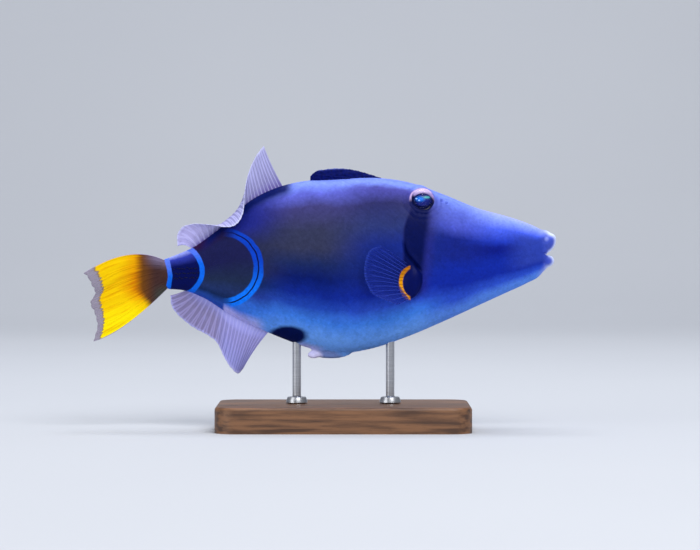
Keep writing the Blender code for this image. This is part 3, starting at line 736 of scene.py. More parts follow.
def under_the_eye(points):
    """Skin that lies inside an eye is pressed in, so that it never shows through the clear front."""
    result = points.copy()
    for side in SIDES.values():
        far, _, up = eye_polar(points, side)
        press = SOCKET_PRESS * np.clip(1 - (far / SOCKET_RADIUS) ** 4, 0, 1)
        press *= (up > -6) * (points[:, 1] * side > 0)
        result -= press[:, None] * np.array(eye_axes(side)[1].col[2])
    return result


skin.normal_update()
skin_points = points_of(skin)
normals = np.array([v.normal for v in skin.verts])
folds = fold_heights(skin_points)
move_points(skin, under_the_eye(skin_points + normals * folds[:, None]))
skin_tree = BVHTree.FromBMesh(faces_out(skin))
print("deepest fold in mm:", round(float(-folds.min()), 2))

# %% [markdown]
# ## The markings
#
# Everything that names this fish is drawn here once, as formulas on the place in space, and both
# the skin and the scales read it, so the drawing runs on under each scale. A height from 0 at the
# belly's keel to 1 at the ridge of the back drives a long colour ramp for each stretch of the
# body, from the snout to the dark rear. Where a ramp turns pale at the ridge it is partly a painted
# highlight of light from above, and on the belly partly painted light from below. The bar, the
# arcs and the spots then go on top, with painted highlights along the snout's ridge and the lips.
# A formula stays sharp at any distance, which a picture wrapped round the fish would not.

# %% Markings: sizes in millimetres, x and z
CRESCENT_CENTRE, CRESCENT_RADIUS, CRESCENT_HALF = (-44.9, 75.4), 16.5, 2.3
STEM_ARC_CENTRE, STEM_ARC_RADIUS, STEM_ARC_HALF = (-65.9, 73.9), 11.1, 1.15
TAIL_ARC_CENTRE, TAIL_ARC_RADIUS, TAIL_ARC_HALF = (-89.6, 71.6), 19.7, 1.1
PAD_SPOT, PAD_SPOT_RADII, PAD_SPOT_LEAN = (42.8, 68.5), (4.1, 6.9), 0.2
ORANGE_CENTRE, ORANGE_RADII, ORANGE_HALF = (42.6, 68.6), (5.4, 7.6), 0.17
BAND_LINES = 4.0
VENT_SPOT, VENT_RADII = (-15.0, 44.0), (9.9, 4.9)
CURVE_SPAN_X = (-80.0, 110.0)
CURVE_SPAN_Z = (30.0, 130.0)
OUTLINE_POINTS = 18
# The first spot is a painted highlight on top of the upper lip; the flap and its knob are their own
# pale colours.
HEAD_SPOTS = (((105.2, 88.8), (1.6, 1.6), 1.0, 0.2, 0.5, "painted ridge highlight"),
              ((0.6, 34.0), (11.5, 3.4), 1.05, 0.6, 0.85, "flap lavender"),
              ((-4.2, 34.6), (5.6, 3.0), 1.1, 0.6, 1.0, "flap knob"))
WANDER_X, WANDER_Z, WANDER_HEIGHT = (5, 3, 1.1), (7, 3, 1.1), (9, 2, 0.05)
FINE_MOTTLE, COARSE_MOTTLE, TONE_DEPTH = (1.1, 3, 0.4), (3.2, 2, 0.3), 0.07
CRESCENT_THINS, CRESCENT_THIN_OVER, CRESCENT_TIP = 0.9, (100.0, 82.0), (56.4, 58.6)
CRESCENT_REAR_END, CRESCENT_LOW_END, CRESCENT_LOW = (-46.5, -37.0), (-44.5, -40.5), (76.0, 74.0)
STEM_LINE_FROM, STEM_LINE_PALES, TAIL_LINE_PALES = (-63.0, -62.0), (77.0, 84.0), (70.0, 78.0)
BAR_LEFT, BAR_STEP, BAR_STEP_OVER, BAR_RIGHT, BAR_LEAN = 38.5, 3.2, (92.0, 104.0), 37.8, 0.13
LID_MIDDLE, LID_EDGE, LID_OUT = (46.9, 106.6), (6.1, 5.4), (4.5, 6.5)
# Where a ramp turns pale at its top it is partly the back's own paler blue and partly a painted
# highlight of light from above; the palest stops at the belly's keel are partly its own pale blue and
# partly painted light from below.
BODY_RAMPS = {
    "rear": ((0.0, "band blue"), (0.08, "rear blue"), (0.16, "aft navy"), (0.24, "rear teal"),
             (0.36, "rear olive"), (0.55, "rear night"), (0.8, "rear night"), (0.97, "rear wine")),
    "aft": ((0.0, "belly pale and painted light from below"), (0.08, "belly blue"), (0.16, "aft belly"), (0.24, "aft blue"),
            (0.33, "aft navy"), (0.43, "aft slate"), (0.62, "aft slate"), (0.8, "aft violet"),
            (0.92, "aft violet"), (1.0, "back violet")),
    "flank": ((0.0, "belly pale and painted light from below"), (0.08, "belly pale and painted light from below"), (0.17, "belly blue"), (0.25, "band blue"),
              (0.33, "flank navy"), (0.42, "flank deep"), (0.51, "flank slate"),
              (0.6, "flank smoke"), (0.7, "flank smoke"), (0.84, "flank violet"),
              (0.92, "back violet"), (0.97, "back lilac and painted highlight")),
    "shoulder": ((0.0, "belly pale and painted light from below"), (0.05, "belly pale and painted light from below"), (0.15, "belly blue"),
                 (0.23, "jaw blue"), (0.31, "cheek blue"), (0.42, "shoulder deep"),
                 (0.6, "shoulder deep"), (0.72, "shoulder blue"), (0.85, "shoulder violet"),
                 (0.94, "back dusk"), (0.97, "back lilac and painted highlight")),
    "cheek": ((0.0, "jaw pale"), (0.06, "jaw pale"), (0.15, "jaw blue"), (0.27, "cheek blue"),
              (0.4, "cheek blue"), (0.52, "cheek deep"), (0.66, "cheek deep"),
              (0.76, "cheek violet"), (0.88, "cheek lilac"), (0.98, "back lilac and painted highlight")),
    "snout": ((0.0, "jaw pale"), (0.08, "jaw pale"), (0.17, "jaw blue"), (0.28, "cheek blue"),
              (0.44, "cheek blue"), (0.55, "snout deep"), (0.6, "snout deep"),
              (0.67, "snout blue"), (0.81, "snout violet"), (0.93, "snout lilac"),
              (1.0, "painted ridge highlight")),
    "stem": ((0.0, "stem black"), (0.66, "stem black"), (0.86, "stem violet"), (1.0, "painted ridge highlight")),
}
STRETCHES = ((-33, -10, "flank"), (0, 28, "shoulder"), (42, 62, "cheek"), (62, 86, "snout"))
BODY_PATCHES = (
    ("aft belly", 1, ("x", -29, -38), ("height", 0.3, 0.14)),
    ("snout front", 1, ("x", 82, 98), ("height", 0.22, 0.36), ("height", 0.84, 0.7)),
    ("hem lilac", 0.7, ("x", -24, -31), ("height", 0.11, 0.01)),
    ("hem lilac", 0.7, ("x", -12, -8), ("x", 4, -4), ("height", 0.05, 0)))
DORSAL_SHADOW = (("dorsal shadow", 1, ("under ridge", 6.6, 2.6), ("x", -11, -17), ("x", -57, -50)),)
TAIL_BASE_PATCHES = (
    ("tail rust", 1, ("x", -76, -85)),
    ("tail lilac", 1, ("top", 66, 74), ("x", -84, -75)),
    ("tail olive", 1, ("x", -80, -72), ("z", 69, 62)))
BAR_PATCHES = (
    ("bar fringe", 0.3, ("z", 60, 66), ("z", 106, 101), ("past left", -0.9, 0.9),
     ("past right", 6, 0)),
    ("bar navy", 1, ("z", 60, 66), ("z", 106, 101), ("past left", -0.9, 0.9),
     ("past right", 1.8, -2.2)))
LID_PATCHES = (
    ("lid lavender", 1, ("front", 3.4, 5.4), ("up", -3, -0.5)),
    ("lid rose", 1, ("top", -0.2, 3)))
# Past the lips' own darker blue, the pale strips close to the middle plane are painted highlights
# along the snout's ridge and the lips' outline.
LIP_TINT_AND_HIGHLIGHTS = (
    ("lip side", 0.8, ("lips", 112, 116.6)),
    ("painted ridge highlight", 1, ("x", 99, 106), ("side", 4.2, 1.4)),
    ("painted lip highlight", 1, ("x", 103.5, 107), ("side", 3.8, 1.6)))


def outline_curve(x, height):
    """A curve node that gives the height of the ridge or the keel at x."""
    node = x.tree.nodes.new("ShaderNodeFloatCurve")
    (low, high), (floor, top) = CURVE_SPAN_X, CURVE_SPAN_Z
    feed(node.inputs["Value"], (x - low) / (high - low))
    places = np.linspace(0, 1, OUTLINE_POINTS)
    levels = (height(low + (high - low) * places) - floor) / (top - floor)
    points = node.mapping.curves[0].points
    points[0].location = (places[0], levels[0])
    points[1].location = (places[-1], levels[-1])
    for place, level in zip(places[1:-1], levels[1:-1]):
        points.new(place, level)
    node.mapping.update()
    return Field(node.outputs[0]) * (top - floor) + floor


def distance_from(x, z, centre, radii=(1, 1)):
    """Distance from a centre in the side view, counted in the two radii."""
    across, up = (x - centre[0]) / radii[0], (z - centre[1]) / radii[1]
    return (across * across + up * up).root()


def oval(x, z, centre, radii, outer, inner):
    """A mask that grows from 0 at this share of an oval's radii to 1 at a smaller share."""
    return distance_from(x, z, centre, radii).rise(outer, inner)


def past_arc(x, z, centre, radius, outside, inside):
    """1 behind the front edge of a circle, which past its top and bottom runs on at its centre."""
    rise = z - centre[1]
    edge = (radius**2 - rise * rise).root() + centre[0]
    return (edge - x).rise(outside, inside)


def arc_line(x, z, centre, radius, half):
    """A mask of a thin line along a circle, with soft sides."""
    return abs(distance_from(x, z, centre) - radius).rise(half + 0.2, half - 0.2)


def body_colours(x, height):
    """One colour ramp from keel to ridge for each stretch of the body, blended along it. Where the
    ramps turn pale they are partly painted light: from above at the ridge, from below on the belly.
    """
    body = ramp(height, BODY_RAMPS["aft"])
    for start, end, stretch in STRETCHES:
        body = blend(x.rise(start, end), body, ramp(height, BODY_RAMPS[stretch]))
    return painted(body, {"x": x, "height": height}, BODY_PATCHES)


def tail_base(x, z):
    """The dark base of the tail: lilac on top, brown in the middle and olive low in front."""
    return painted("tail brown", {"x": x, "z": z, "top": z + x * 0.1}, TAIL_BASE_PATCHES)


def stem_colours(x, z, height, front):
    """The crescent with its black line, the dark rear, and the black stem between two blue lines."""
    past_crescent = past_arc(x, z, CRESCENT_CENTRE, CRESCENT_RADIUS, -0.6, 0.8)
    body = blend(past_crescent, front, ramp(height, BODY_RAMPS["rear"]))
    ring = abs(distance_from(x, z, CRESCENT_CENTRE) - CRESCENT_RADIUS)
    width = z.rise(*CRESCENT_THIN_OVER) * CRESCENT_THINS + (CRESCENT_HALF - CRESCENT_THINS)
    low_end = z.rise(*CRESCENT_LOW) * x.rise(*CRESCENT_LOW_END)
    ends = z.rise(*CRESCENT_TIP) * x.rise(*CRESCENT_REAR_END).math("MAXIMUM", low_end)
    blue = blend(z.rise(80.0, 62.0), "royal blue", "electric blue")
    body = blend((ring - width).rise(0.35, -0.35) * ends, body, blue)
    body = blend(ring.rise(0.42, 0.2) * ends, body, "line black")
    past_stem = past_arc(x, z, STEM_ARC_CENTRE, STEM_ARC_RADIUS, -0.3, 0.3)
    body = blend(past_stem, body, ramp(height, BODY_RAMPS["stem"]))
    line = arc_line(x, z, STEM_ARC_CENTRE, STEM_ARC_RADIUS, STEM_ARC_HALF) * x.rise(*STEM_LINE_FROM)
    body = blend(line, body, blend(z.rise(*STEM_LINE_PALES), "arc blue", "pale line"))
    in_tail_ring = oval(x, z, TAIL_ARC_CENTRE, (1, 1), TAIL_ARC_RADIUS - 0.5, TAIL_ARC_RADIUS - 0.9)
    body = blend(in_tail_ring, body, tail_base(x, z))
    line = arc_line(x, z, TAIL_ARC_CENTRE, TAIL_ARC_RADIUS, TAIL_ARC_HALF)
    return blend(line, body, blend(z.rise(*TAIL_LINE_PALES), "arc blue", "pale line"))


def orange_band(x, z):
    """The bright band that runs down behind the black root of the pectoral fin."""
    rim = distance_from(x, z, ORANGE_CENTRE, ORANGE_RADII)
    half = z.rise(78.5, 73.0) * z.rise(58.0, 63.5) * ORANGE_HALF
    return (abs(rim - 1) - half).rise(0.05, -0.05) * x.rise(42.0, 41.2)


def orange_shade(z):
    """Orange that is browner on top, crossed by the fine dark lines of the fin's ray bases."""
    body = blend(z.rise(68.0, 75.0), "band orange", "band amber")
    return blend((z * BAND_LINES).math("SINE").rise(0.55, 1.0) * 0.65, body, "tail rust")


def eyelid(x, y, z, body):
    """The rim of the eye: rosy on top, lavender in front and as dark as the bar at the rear."""
    across, up = x - EYE_SPOT[0], z - EYE_SPOT[1]
    fields = {"up": up, "front": across - up * 0.3, "top": up - across * 0.2}
    tint = painted("bar navy", fields, LID_PATCHES)
    lid = oval(x, z, LID_MIDDLE, (1, 1), *LID_EDGE)
    return blend(lid * abs(y).rise(*LID_OUT), body, tint)


def head_colours(x, y, z, body):
    """The navy bar below the eye, the black root of the fin with its orange rim, lips, flap and the
    painted highlights along the snout's ridge and the lips.
    """
    left_edge = z.rise(*BAR_STEP_OVER) * BAR_STEP + BAR_LEFT
    fields = {"x": x, "z": z, "side": abs(y), "lips": x + z * 0.12, "past left": x - left_edge,
              "past right": x - (z * BAR_LEAN + BAR_RIGHT)}
    body = eyelid(x, y, z, painted(body, fields, BAR_PATCHES))
    lean = x - (z - PAD_SPOT[1]) * PAD_SPOT_LEAN
    body = blend(oval(lean, z, PAD_SPOT, PAD_SPOT_RADII, 1.12, 0.96), body, "pad black")
    body = blend(orange_band(x, z), body, orange_shade(z))
    body = painted(body, fields, LIP_TINT_AND_HIGHLIGHTS)
    for centre, radii, outer, inner, strength, shade in HEAD_SPOTS:
        body = blend(oval(x, z, centre, radii, outer, inner) * strength, body, shade)
    return body


print("colour ramps:", len(BODY_RAMPS), "stops:", sum(len(stops) for stops in BODY_RAMPS.values()))

# %% Markings: the node group


def markings_group():
    """The fish's whole drawing, from its place in space to a colour."""
    group = bpy.data.node_groups.new("fish_markings", "ShaderNodeTree")
    sockets = (("Place", "INPUT", "Vector"), ("Tone", "INPUT", "Float"), ("Colour", "OUTPUT", "Color"))
    for label, in_out, kind in sockets:
        group.interface.new_socket(label, in_out=in_out, socket_type="NodeSocket" + kind)
    entry, result = group.nodes.new("NodeGroupInput"), group.nodes.new("NodeGroupOutput")
    place = entry.outputs["Place"]
    x, y, z = split_place(place)
    x, z = x + cloud(place, *WANDER_X), z + cloud(place, *WANDER_Z)
    ridge = outline_curve(x, lambda at: axis_height(at) + back(at))
    keel = outline_curve(x, lambda at: axis_height(at) - belly(at))
    height = (z - keel) / (ridge - keel)
    height = height + cloud(place, *WANDER_HEIGHT)
    body = stem_colours(x, z, height, body_colours(x, height))
    body = painted(body, {"x": x, "under ridge": ridge - z}, DORSAL_SHADOW)
    body = blend(oval(x, z, VENT_SPOT, VENT_RADII, 1.1, 0.68), body, "vent black")
    body = head_colours(x, y, z, body)
    mottle = cloud(place, *FINE_MOTTLE) + cloud(place, *COARSE_MOTTLE)
    tint = group.nodes.new("ShaderNodeVectorMath")
    tint.operation = "SCALE"
    feed(tint.inputs[0], body)
    feed(tint.inputs["Scale"], mottle + Field(entry.outputs["Tone"]) * TONE_DEPTH + 1.0)
    feed(result.inputs["Colour"], tint.outputs[0])
    return group


FISH_MARKINGS = markings_group()
print("marking nodes:", len(FISH_MARKINGS.nodes))

# %% [markdown]
# ## Skin and scale finishes
#
# Wet fish skin is satin with a thin clear film of slime over it. Roughness and bump come from the
# same fine noise, so the duller grains are also the raised ones. Scales use the same finish and
# add a tone of their own to each plate, which is what makes the flank look faintly mottled.

# %% Skin and scale materials


def new_material(name):
    """A material and what gets wired in it: its shader and the place on the object."""
    material = bpy.data.materials.new(name)
    material.use_nodes = True
    nodes = material.node_tree.nodes
    return material, nodes["Principled BSDF"], nodes.new("ShaderNodeTexCoord").outputs["Object"]


def finish(shader, values, grain=None, depth=0):
    """Feeds a shader's inputs by name, and a bump of this depth in millimetres."""
    for label, value in values.items():
        feed(shader.inputs[label], value)
    if grain:
        bump = shader.id_data.nodes.new("ShaderNodeBump")
        feed(bump.inputs["Distance"], depth * MM)
        feed(bump.inputs["Height"], grain)
        feed(shader.inputs["Normal"], bump.outputs[0])


def attribute(place, name):
    """A number stored on the piece's vertices, as a field of the material that place is in."""
    node = place.id_data.nodes.new("ShaderNodeAttribute")
    node.attribute_name = name
    return Field(node.outputs["Fac"])


def fish_skin(name, scaled):
    """The finish of the skin, or of the scales on it."""
    material, shader, place = new_material(name)
    drawing = place.id_data.nodes.new("ShaderNodeGroup")
    drawing.node_tree = FISH_MARKINGS
    feed(drawing.inputs["Place"], place)
    feed(drawing.inputs["Tone"], attribute(place, "tone") if scaled else 0.0)
    grain = noise(place, 0.5, 3)
    finish(shader, {"Base Color": drawing.outputs["Colour"], "Roughness": grain * 0.25 + 0.36,
                    "Coat Weight": 0.02, "Coat Roughness": 0.2, "Specular IOR Level": 0.05},
           grain + noise(place, 1.6, 2) * 2, 0.05)
    return material


SKIN = fish_skin("wet_skin", False)
SCALES = fish_skin("bony_scales", True)
new_piece("fish_skin", skin, SKIN, "skin", "head", "torso", "tail_stem", "pelvic_flap")

# %% [markdown]
# ## The coat of scales
#
# Triggerfish wear small diamond plates set edge to edge, in rows that lean both ways. One diamond
# is made with operators, an Array repeats it a few thousand times, and all its corners are laid on
# the skin at once. Rows share the arc from ridge to keel, so the plates shrink with the body
# towards the snout and the tail, as real ones do. Each plate also gets a tiny patch on an unwrap
# of the skin, which is where its colour is baked.

# %% Lattice of the scales
SCALE_ROWS = 84
SCALE_SHRINK = 0.96
SCALE_CROWN, SCALE_EDGE, SCALE_TILT, SCALE_ROOT = 0.085, 0.03, 0.012, -0.1
SCALE_UNEVEN = (0.8, 1.2)
FACE_FADE, FACE_RELIEF = (26.0, 76.0), 0.22
RIM_TURN = 30
COAT_PARTING = 8.0
STATIONS, STEPS, FINE_STEPS = 240, 120, 720
COAT_ENDS = (-70.5, 101.0)
BAKE_PATCH, BAKE_MARGIN = 0.003, 0.01
CLEAR_OF_EYE, CLEAR_OF_PIT, CLEAR_OF_PAD = 7.2, 1.1, (5.2, 8.2)


def right_side_sheet():
    """Points over the right side, in equal steps along the body and from ridge to keel."""
    x = np.linspace(*COAT_ENDS, STATIONS)
    turn = -np.linspace(0, math.pi, FINE_STEPS + 1)
    arcs = body_point(x[:, None] + 0 * turn, turn[None, :] + 0 * x[:, None])
    lengths = np.linalg.norm(np.diff(arcs, axis=1), axis=2)
    run = np.concatenate([np.zeros((STATIONS, 1)), np.cumsum(lengths, axis=1)], axis=1)
    sheet = np.empty((STATIONS, STEPS + 1, 3))
    for i in range(STATIONS):
        places = np.linspace(0, run[i, -1], STEPS + 1)
        for axis in range(3):
            sheet[i, :, axis] = np.interp(places, run[i], arcs[i, :, axis])
    return x, sheet, run[:, -1]


def sheet_point(sheet, i, j):
    """Points between the rows and columns of a sheet."""
    i0 = np.clip(i.astype(int), 0, sheet.shape[0] - 2)
    j0 = np.clip(j.astype(int), 0, sheet.shape[1] - 2)
    a, b = (i - i0)[..., None], (j - j0)[..., None]
    near = sheet[i0, j0] * (1 - b) + sheet[i0, j0 + 1] * b
    far = sheet[i0 + 1, j0] * (1 - b) + sheet[i0 + 1, j0 + 1] * b
    return near * (1 - a) + far * a


def scale_centres(x, arc):
    """Column and row of every scale: columns are as far apart as a scale is tall."""
    tall = 2 * arc / SCALE_ROWS
    count = np.concatenate([[0], np.cumsum(np.diff(x) / ((tall[1:] + tall[:-1]) / 2))])
    columns = np.arange(1, int(count[-1]))
    centres = [(column + 0.5 * (row % 2), (row + 0.5) / SCALE_ROWS)
               for row in range(SCALE_ROWS) for column in columns]
    return np.array(centres), count


x_stations, right_sheet, arc_lengths = right_side_sheet()
centres, column_count = scale_centres(x_stations, arc_lengths)
tallest = 2 * arc_lengths.max() / SCALE_ROWS
print("scales on a side:", len(centres), "tallest in mm:", round(tallest, 2))

# %% One diamond, and a coat of them


def scale_plate():
    """A closed diamond plate, two by two, with 1 at its corners and its crown in the middle."""
    bm = bmesh.new()
    bmesh.ops.create_grid(bm, x_segments=2, y_segments=2, size=math.sqrt(0.5))
    moved(bm, Matrix.Rotation(math.pi / 4, 4, "Z"))
    raised = bmesh.ops.extrude_face_region(bm, geom=bm.faces[:])
    top = [v for v in raised["geom"] if isinstance(v, bmesh.types.BMVert)]
    bmesh.ops.translate(bm, vec=(0, 0, 1), verts=top)
    return faces_out(bm)


def kept_clear(points, side):
    """True for scales that would lie on lips, eyes, nostrils, gill slits or the roots of fins."""
    clear = eye_polar(points, side)[0] < CLEAR_OF_EYE
    for px, pz, radius in NOSTRILS:
        clear |= far_from(points, (px, pz)) < radius + CLEAR_OF_PIT
    clear |= distance_to_line(points, GILL_OPENING)[0] < CLEAR_OF_PIT
    return clear | (far_from(points, (PAD_X, PAD_Z), CLEAR_OF_PAD) < 1)


def laid_on_skin(points):
    """The nearest points of the skin, and the directions straight out of it."""
    spots, outs = np.empty_like(points), np.empty_like(points)
    for k, point in enumerate(points):
        spot, out, _, _ = skin_tree.find_nearest(point * MM)
        spots[k], outs[k] = np.array(spot) / MM, out
    return spots, outs


def coat(name, side, sheet, kept, random):
    """The scales of one part of a side as one piece."""
    bm = modified(scale_plate(), "ARRAY", count=len(kept), use_relative_offset=False)
    plate = np.array([v.co for v in bm.verts]).reshape(len(kept), -1, 3)
    column = kept[:, :1] + plate[..., 0] * 0.5 * SCALE_SHRINK
    row = np.clip(kept[:, 1:] + plate[..., 1] * SCALE_SHRINK / SCALE_ROWS, 0, 1)
    station = np.interp(column, column_count, np.arange(STATIONS))
    spots, outs = laid_on_skin(sheet_point(sheet, station, row * STEPS).reshape(-1, 3))
    share = np.abs(plate[..., :2]).sum(axis=2)
    crown = SCALE_EDGE + (SCALE_CROWN - SCALE_EDGE) * (1 - share) - SCALE_TILT * plate[..., 0]
    size = np.interp(kept[:, 0], column_count, arc_lengths / arc_lengths.max())
    fade = np.interp(np.interp(kept[:, 0], column_count, x_stations), FACE_FADE, (1.0, FACE_RELIEF))
    crown *= (fade * size * random.uniform(*SCALE_UNEVEN, len(kept)))[:, None]
    height = np.where(plate[..., 2] > 0.5, crown, SCALE_ROOT)
    move_points(bm, spots + outs * height.reshape(-1, 1))
    piece = new_piece(name, bm, SCALES, "skin", crisp=RIM_TURN)
    mark(piece, "tone", np.repeat(random.uniform(-1, 1, len(kept)), plate.shape[1]))
    across = kept[:, :1] / column_count[-1] + plate[..., 0] * BAKE_PATCH / 2
    down = (kept[:, 1:] + (side > 0)) / 2 + plate[..., 1] * BAKE_PATCH / 2
    patches = np.stack([across, down], -1) * (1 - 2 * BAKE_MARGIN) + BAKE_MARGIN
    corners = np.empty(len(piece.data.loops), np.int32)
    piece.data.loops.foreach_get("vertex_index", corners)
    places = np.clip(patches, 0, 1).reshape(-1, 2)[corners]
    unwrap = piece.data.uv_layers.new(name="OFBake")
    unwrap.uv.foreach_set("vector", places.astype(np.float32).ravel())


for name, side in SIDES.items():
    random = np.random.default_rng(11 if side > 0 else 12)
    sheet = right_sheet * (1, -side, 1)
    stations = np.interp(centres[:, 0], column_count, np.arange(STATIONS))
    kept = centres[~kept_clear(sheet_point(sheet, stations, centres[:, 1] * STEPS), side)]
    ahead = np.interp(kept[:, 0], column_count, x_stations) > COAT_PARTING
    coat(f"scales_{name}_front", side, sheet, kept[ahead], random)
    coat(f"scales_{name}_rear", side, sheet, kept[~ahead], random)

# %% [markdown]
# ## Eyes
#
# A fish eye is a globe with a domed iris, a wide pupil through which the round lens bulges, and a
# clear cornea over all of it. Modelled as three nested pieces it catches light at three depths,
# and a painted ball never does. The pupil of this fish is wider than it is high.

# %% Eye shapes
PUPIL_RADIUS, PUPIL_WIDEN, PUPIL_DROP = 3.4, 1.26, 0.35
WHITE_RADIUS, IRIS_RADIUS, IRIS_LEVEL, IRIS_DROP, IRIS_SLOPE = 6.1, 5.1, 5.0, 0.4, 1.2
CORNEA_RADIUS, CORNEA_STAND, CORNEA_WALL = 5.3, 0.1, 0.18
PUPIL_RIM = ((0.15, -0.04), (0.0, -0.2), (-0.25, -0.5), (-PUPIL_RADIUS, -0.6))
INNER_SHARE, LENS_HEIGHT, LENS_HALF = 0.985, 2.75, 1.3


def globe_height(radius):
    """Height of the eye's outer surface over its middle, at a distance from its axis."""
    return EYE_HALF_DEPTH * math.sqrt(max(0.0, 1 - (radius / EYE_RADIUS) ** 2))


def globe():
    """White of the eye, iris and rim of the pupil, turned, with the pupil widened and lowered."""
    behind = [(EYE_RADIUS * math.cos(a), EYE_HALF_DEPTH * math.sin(a))
              for a in np.linspace(-math.pi / 2, 0, 14)]
    front = [(r, globe_height(r)) for r in np.linspace(WHITE_RADIUS, IRIS_RADIUS, 5)]
    iris = [(r, globe_height(r) - IRIS_DROP * (IRIS_RADIUS - r) / IRIS_SLOPE)
            for r in np.linspace(IRIS_LEVEL, PUPIL_RADIUS + 0.3, 9)]
    rim = [(PUPIL_RADIUS + out, iris[-1][1] + up) for out, up in PUPIL_RIM]
    bm = turned(behind + front + iris + rim, 64)
    for vert in bm.verts:
        far = math.hypot(vert.co.x, vert.co.y) / MM
        share = min(max((IRIS_LEVEL - far) / (IRIS_LEVEL - PUPIL_RADIUS), 0), 1)
        if vert.co.z > 0:
            vert.co.x *= 1 + (PUPIL_WIDEN - 1) * share
            vert.co.y -= PUPIL_DROP * MM * share
    return bm


def cornea():
    """A thin clear bowl over the iris, closed at its rim."""
    outer = [(r, globe_height(r) + CORNEA_STAND * (1 - (r / CORNEA_RADIUS) ** 2))
             for r in np.linspace(0, CORNEA_RADIUS, 16)]
    inner = [(r * INNER_SHARE, z - CORNEA_WALL) for r, z in outer]
    return turned(outer + inner[::-1], 64)


def lens():
    """The front of the lens, which bulges in the pupil."""
    radii = (PUPIL_RADIUS * PUPIL_WIDEN * INNER_SHARE, PUPIL_RADIUS * INNER_SHARE, LENS_HALF)
    return ball((0, -PUPIL_DROP, LENS_HEIGHT), radii, 0, 48, 24)


print("iris depth under the cornea in mm:", round(IRIS_DROP + CORNEA_STAND, 2))

# %% Eye finishes
# Painted reflections on the lens: a blue glow, a teal streak and two small painted highlights.
PAINTED_LENS_REFLECTIONS = (((46.2, 107.2), (3.2, 1.8), 0.15, 1.0, "painted lens glow"),
              ((49.2, 108.0), (2.4, 0.8), 0.2, 0.8, "painted teal reflection"),
              ((44.5, 107.4), (0.6, 0.45), 0.2, 1.0, "painted lens highlight"),
              ((45.7, 106.6), (0.6, 0.45), 0.2, 1.0, "painted lens highlight"))
IRIS_LOWERED, GOLD_RADIUS, PINK_LEAN, PINK_RAGGED, PINK_FROM = 0.6, 4.2, 0.14, 1.2, (1.0, 2.8)
IRIS_PINK = (("eye salmon", 1, ("up", 2.8, 4.8)),)
IRIS_PATCHES = (("eye gold", 0.4, ("gold line", 0.35, 0.1), ("up", -2.2, -3.4)),
                ("eye pink", 0.6, ("across", 4.5, 5.2), ("up", -1, 1.5)))


def iris_finish():
    """Pink over navy with fine threads towards the pupil and a thin golden line at the bottom."""
    material, shader, place = new_material("iris")
    x, _, z = split_place(place)
    across, up = x - EYE_SPOT[0], z - (EYE_SPOT[1] - IRIS_LOWERED)
    far = (across * across + up * up).root()
    threads = noise(place, 0.35, 3) - 0.5
    fields = {"across": across, "up": up, "gold line": abs(far - GOLD_RADIUS)}
    lit = (up + across * PINK_LEAN + threads * PINK_RAGGED).rise(*PINK_FROM)
    body = blend(lit, "eye navy", painted("eye pink", fields, IRIS_PINK))
    body = painted(body, fields, IRIS_PATCHES)
    finish(shader, {"Base Color": body, "Roughness": threads * 0.3 + 0.35,
                    "Specular IOR Level": 0.05}, threads, 0.05)
    return material


def lens_finish():
    """Almost black, with painted blue and green reflections, the light that shines back out of a
    fish's eye, and two small painted highlights.
    """
    material, shader, place = new_material("eye_lens")
    x, _, z = split_place(place)
    body = blend(oval(x, z, (47.6, 106.6), (4.2, 3.2), 0.7, 1.0), "lens blue", "lens rim")
    for centre, radii, inner, strength, shade in PAINTED_LENS_REFLECTIONS:
        body = blend(oval(x, z, centre, radii, 1.0, inner) * strength, body, shade)
    finish(shader, {"Base Color": body, "Roughness": noise(place, 2) * 0.05 + 0.18,
                    "Specular IOR Level": 0.08})
    return material


def cornea_finish():
    """Clear and wet."""
    material, shader, place = new_material("clear_cornea")
    finish(shader, {"Base Color": (1, 1, 1, 1), "Transmission Weight": 1, "IOR": 1.1,
                    "Roughness": noise(place, 2) * 0.04 + 0.08})
    return material


IRIS, LENS, CORNEA = iris_finish(), lens_finish(), cornea_finish()
for name, side in SIDES.items():
    new_piece("eye_globe_" + name, on_eye(globe(), side, EYE_SUNK), IRIS, "eye", "eye_" + name)
    new_piece("eye_lens_" + name, on_eye(lens(), side, EYE_SUNK), LENS, "eye")
    new_piece("eye_cornea_" + name, on_eye(cornea(), side, EYE_SUNK), CORNEA, "eye")

# %% [markdown]
# ## Fins of rays and skin
#
# A soft fin is a fan of jointed rays with thin skin between them. Three lines in space set its
# shape: where the rays grow, how they bow, and where they end. A grid is laid through them, copied
# and given a front and a back, and the rays are raised in it. Each ray forks on its way out, the
# skin sags a little between them, and the margin is cut in small scallops. The number of the rays
# is the species' own.

# %% Fin sheet
FORK_SPREAD, FORK_EASE = 0.22, 0.8
SECOND_FORK_SPREAD, SECOND_FORK_LATER = 0.1, 0.25
SCALLOP = 0.012
SKIN_HALF, ROOT_ROUNDING, SHEATH_REACH = 0.1, 0.85, 0.1
JOINT_DEPTH, JOINTS_A_ROW, JOINTS_FROM, RAY_TAPER = 0.1, 1.6, 0.2, 0.55
SAG, SAGS = 0.12, 40
WAVES_ALONG, WAVES_OUT, WAVES_EASE = 9, 2, 1.5
STEP_ALONG, STEP_OUT = 0.2, 0.01


def line_in_space(keys):
    """A smooth line through (place, x, y, z) keys, with places from 0 to 1."""
    parts = [smooth_curve([(key[0], key[k]) for key in keys]) for k in (1, 2, 3)]
    return lambda u: np.stack([part(u) for part in parts], -1)


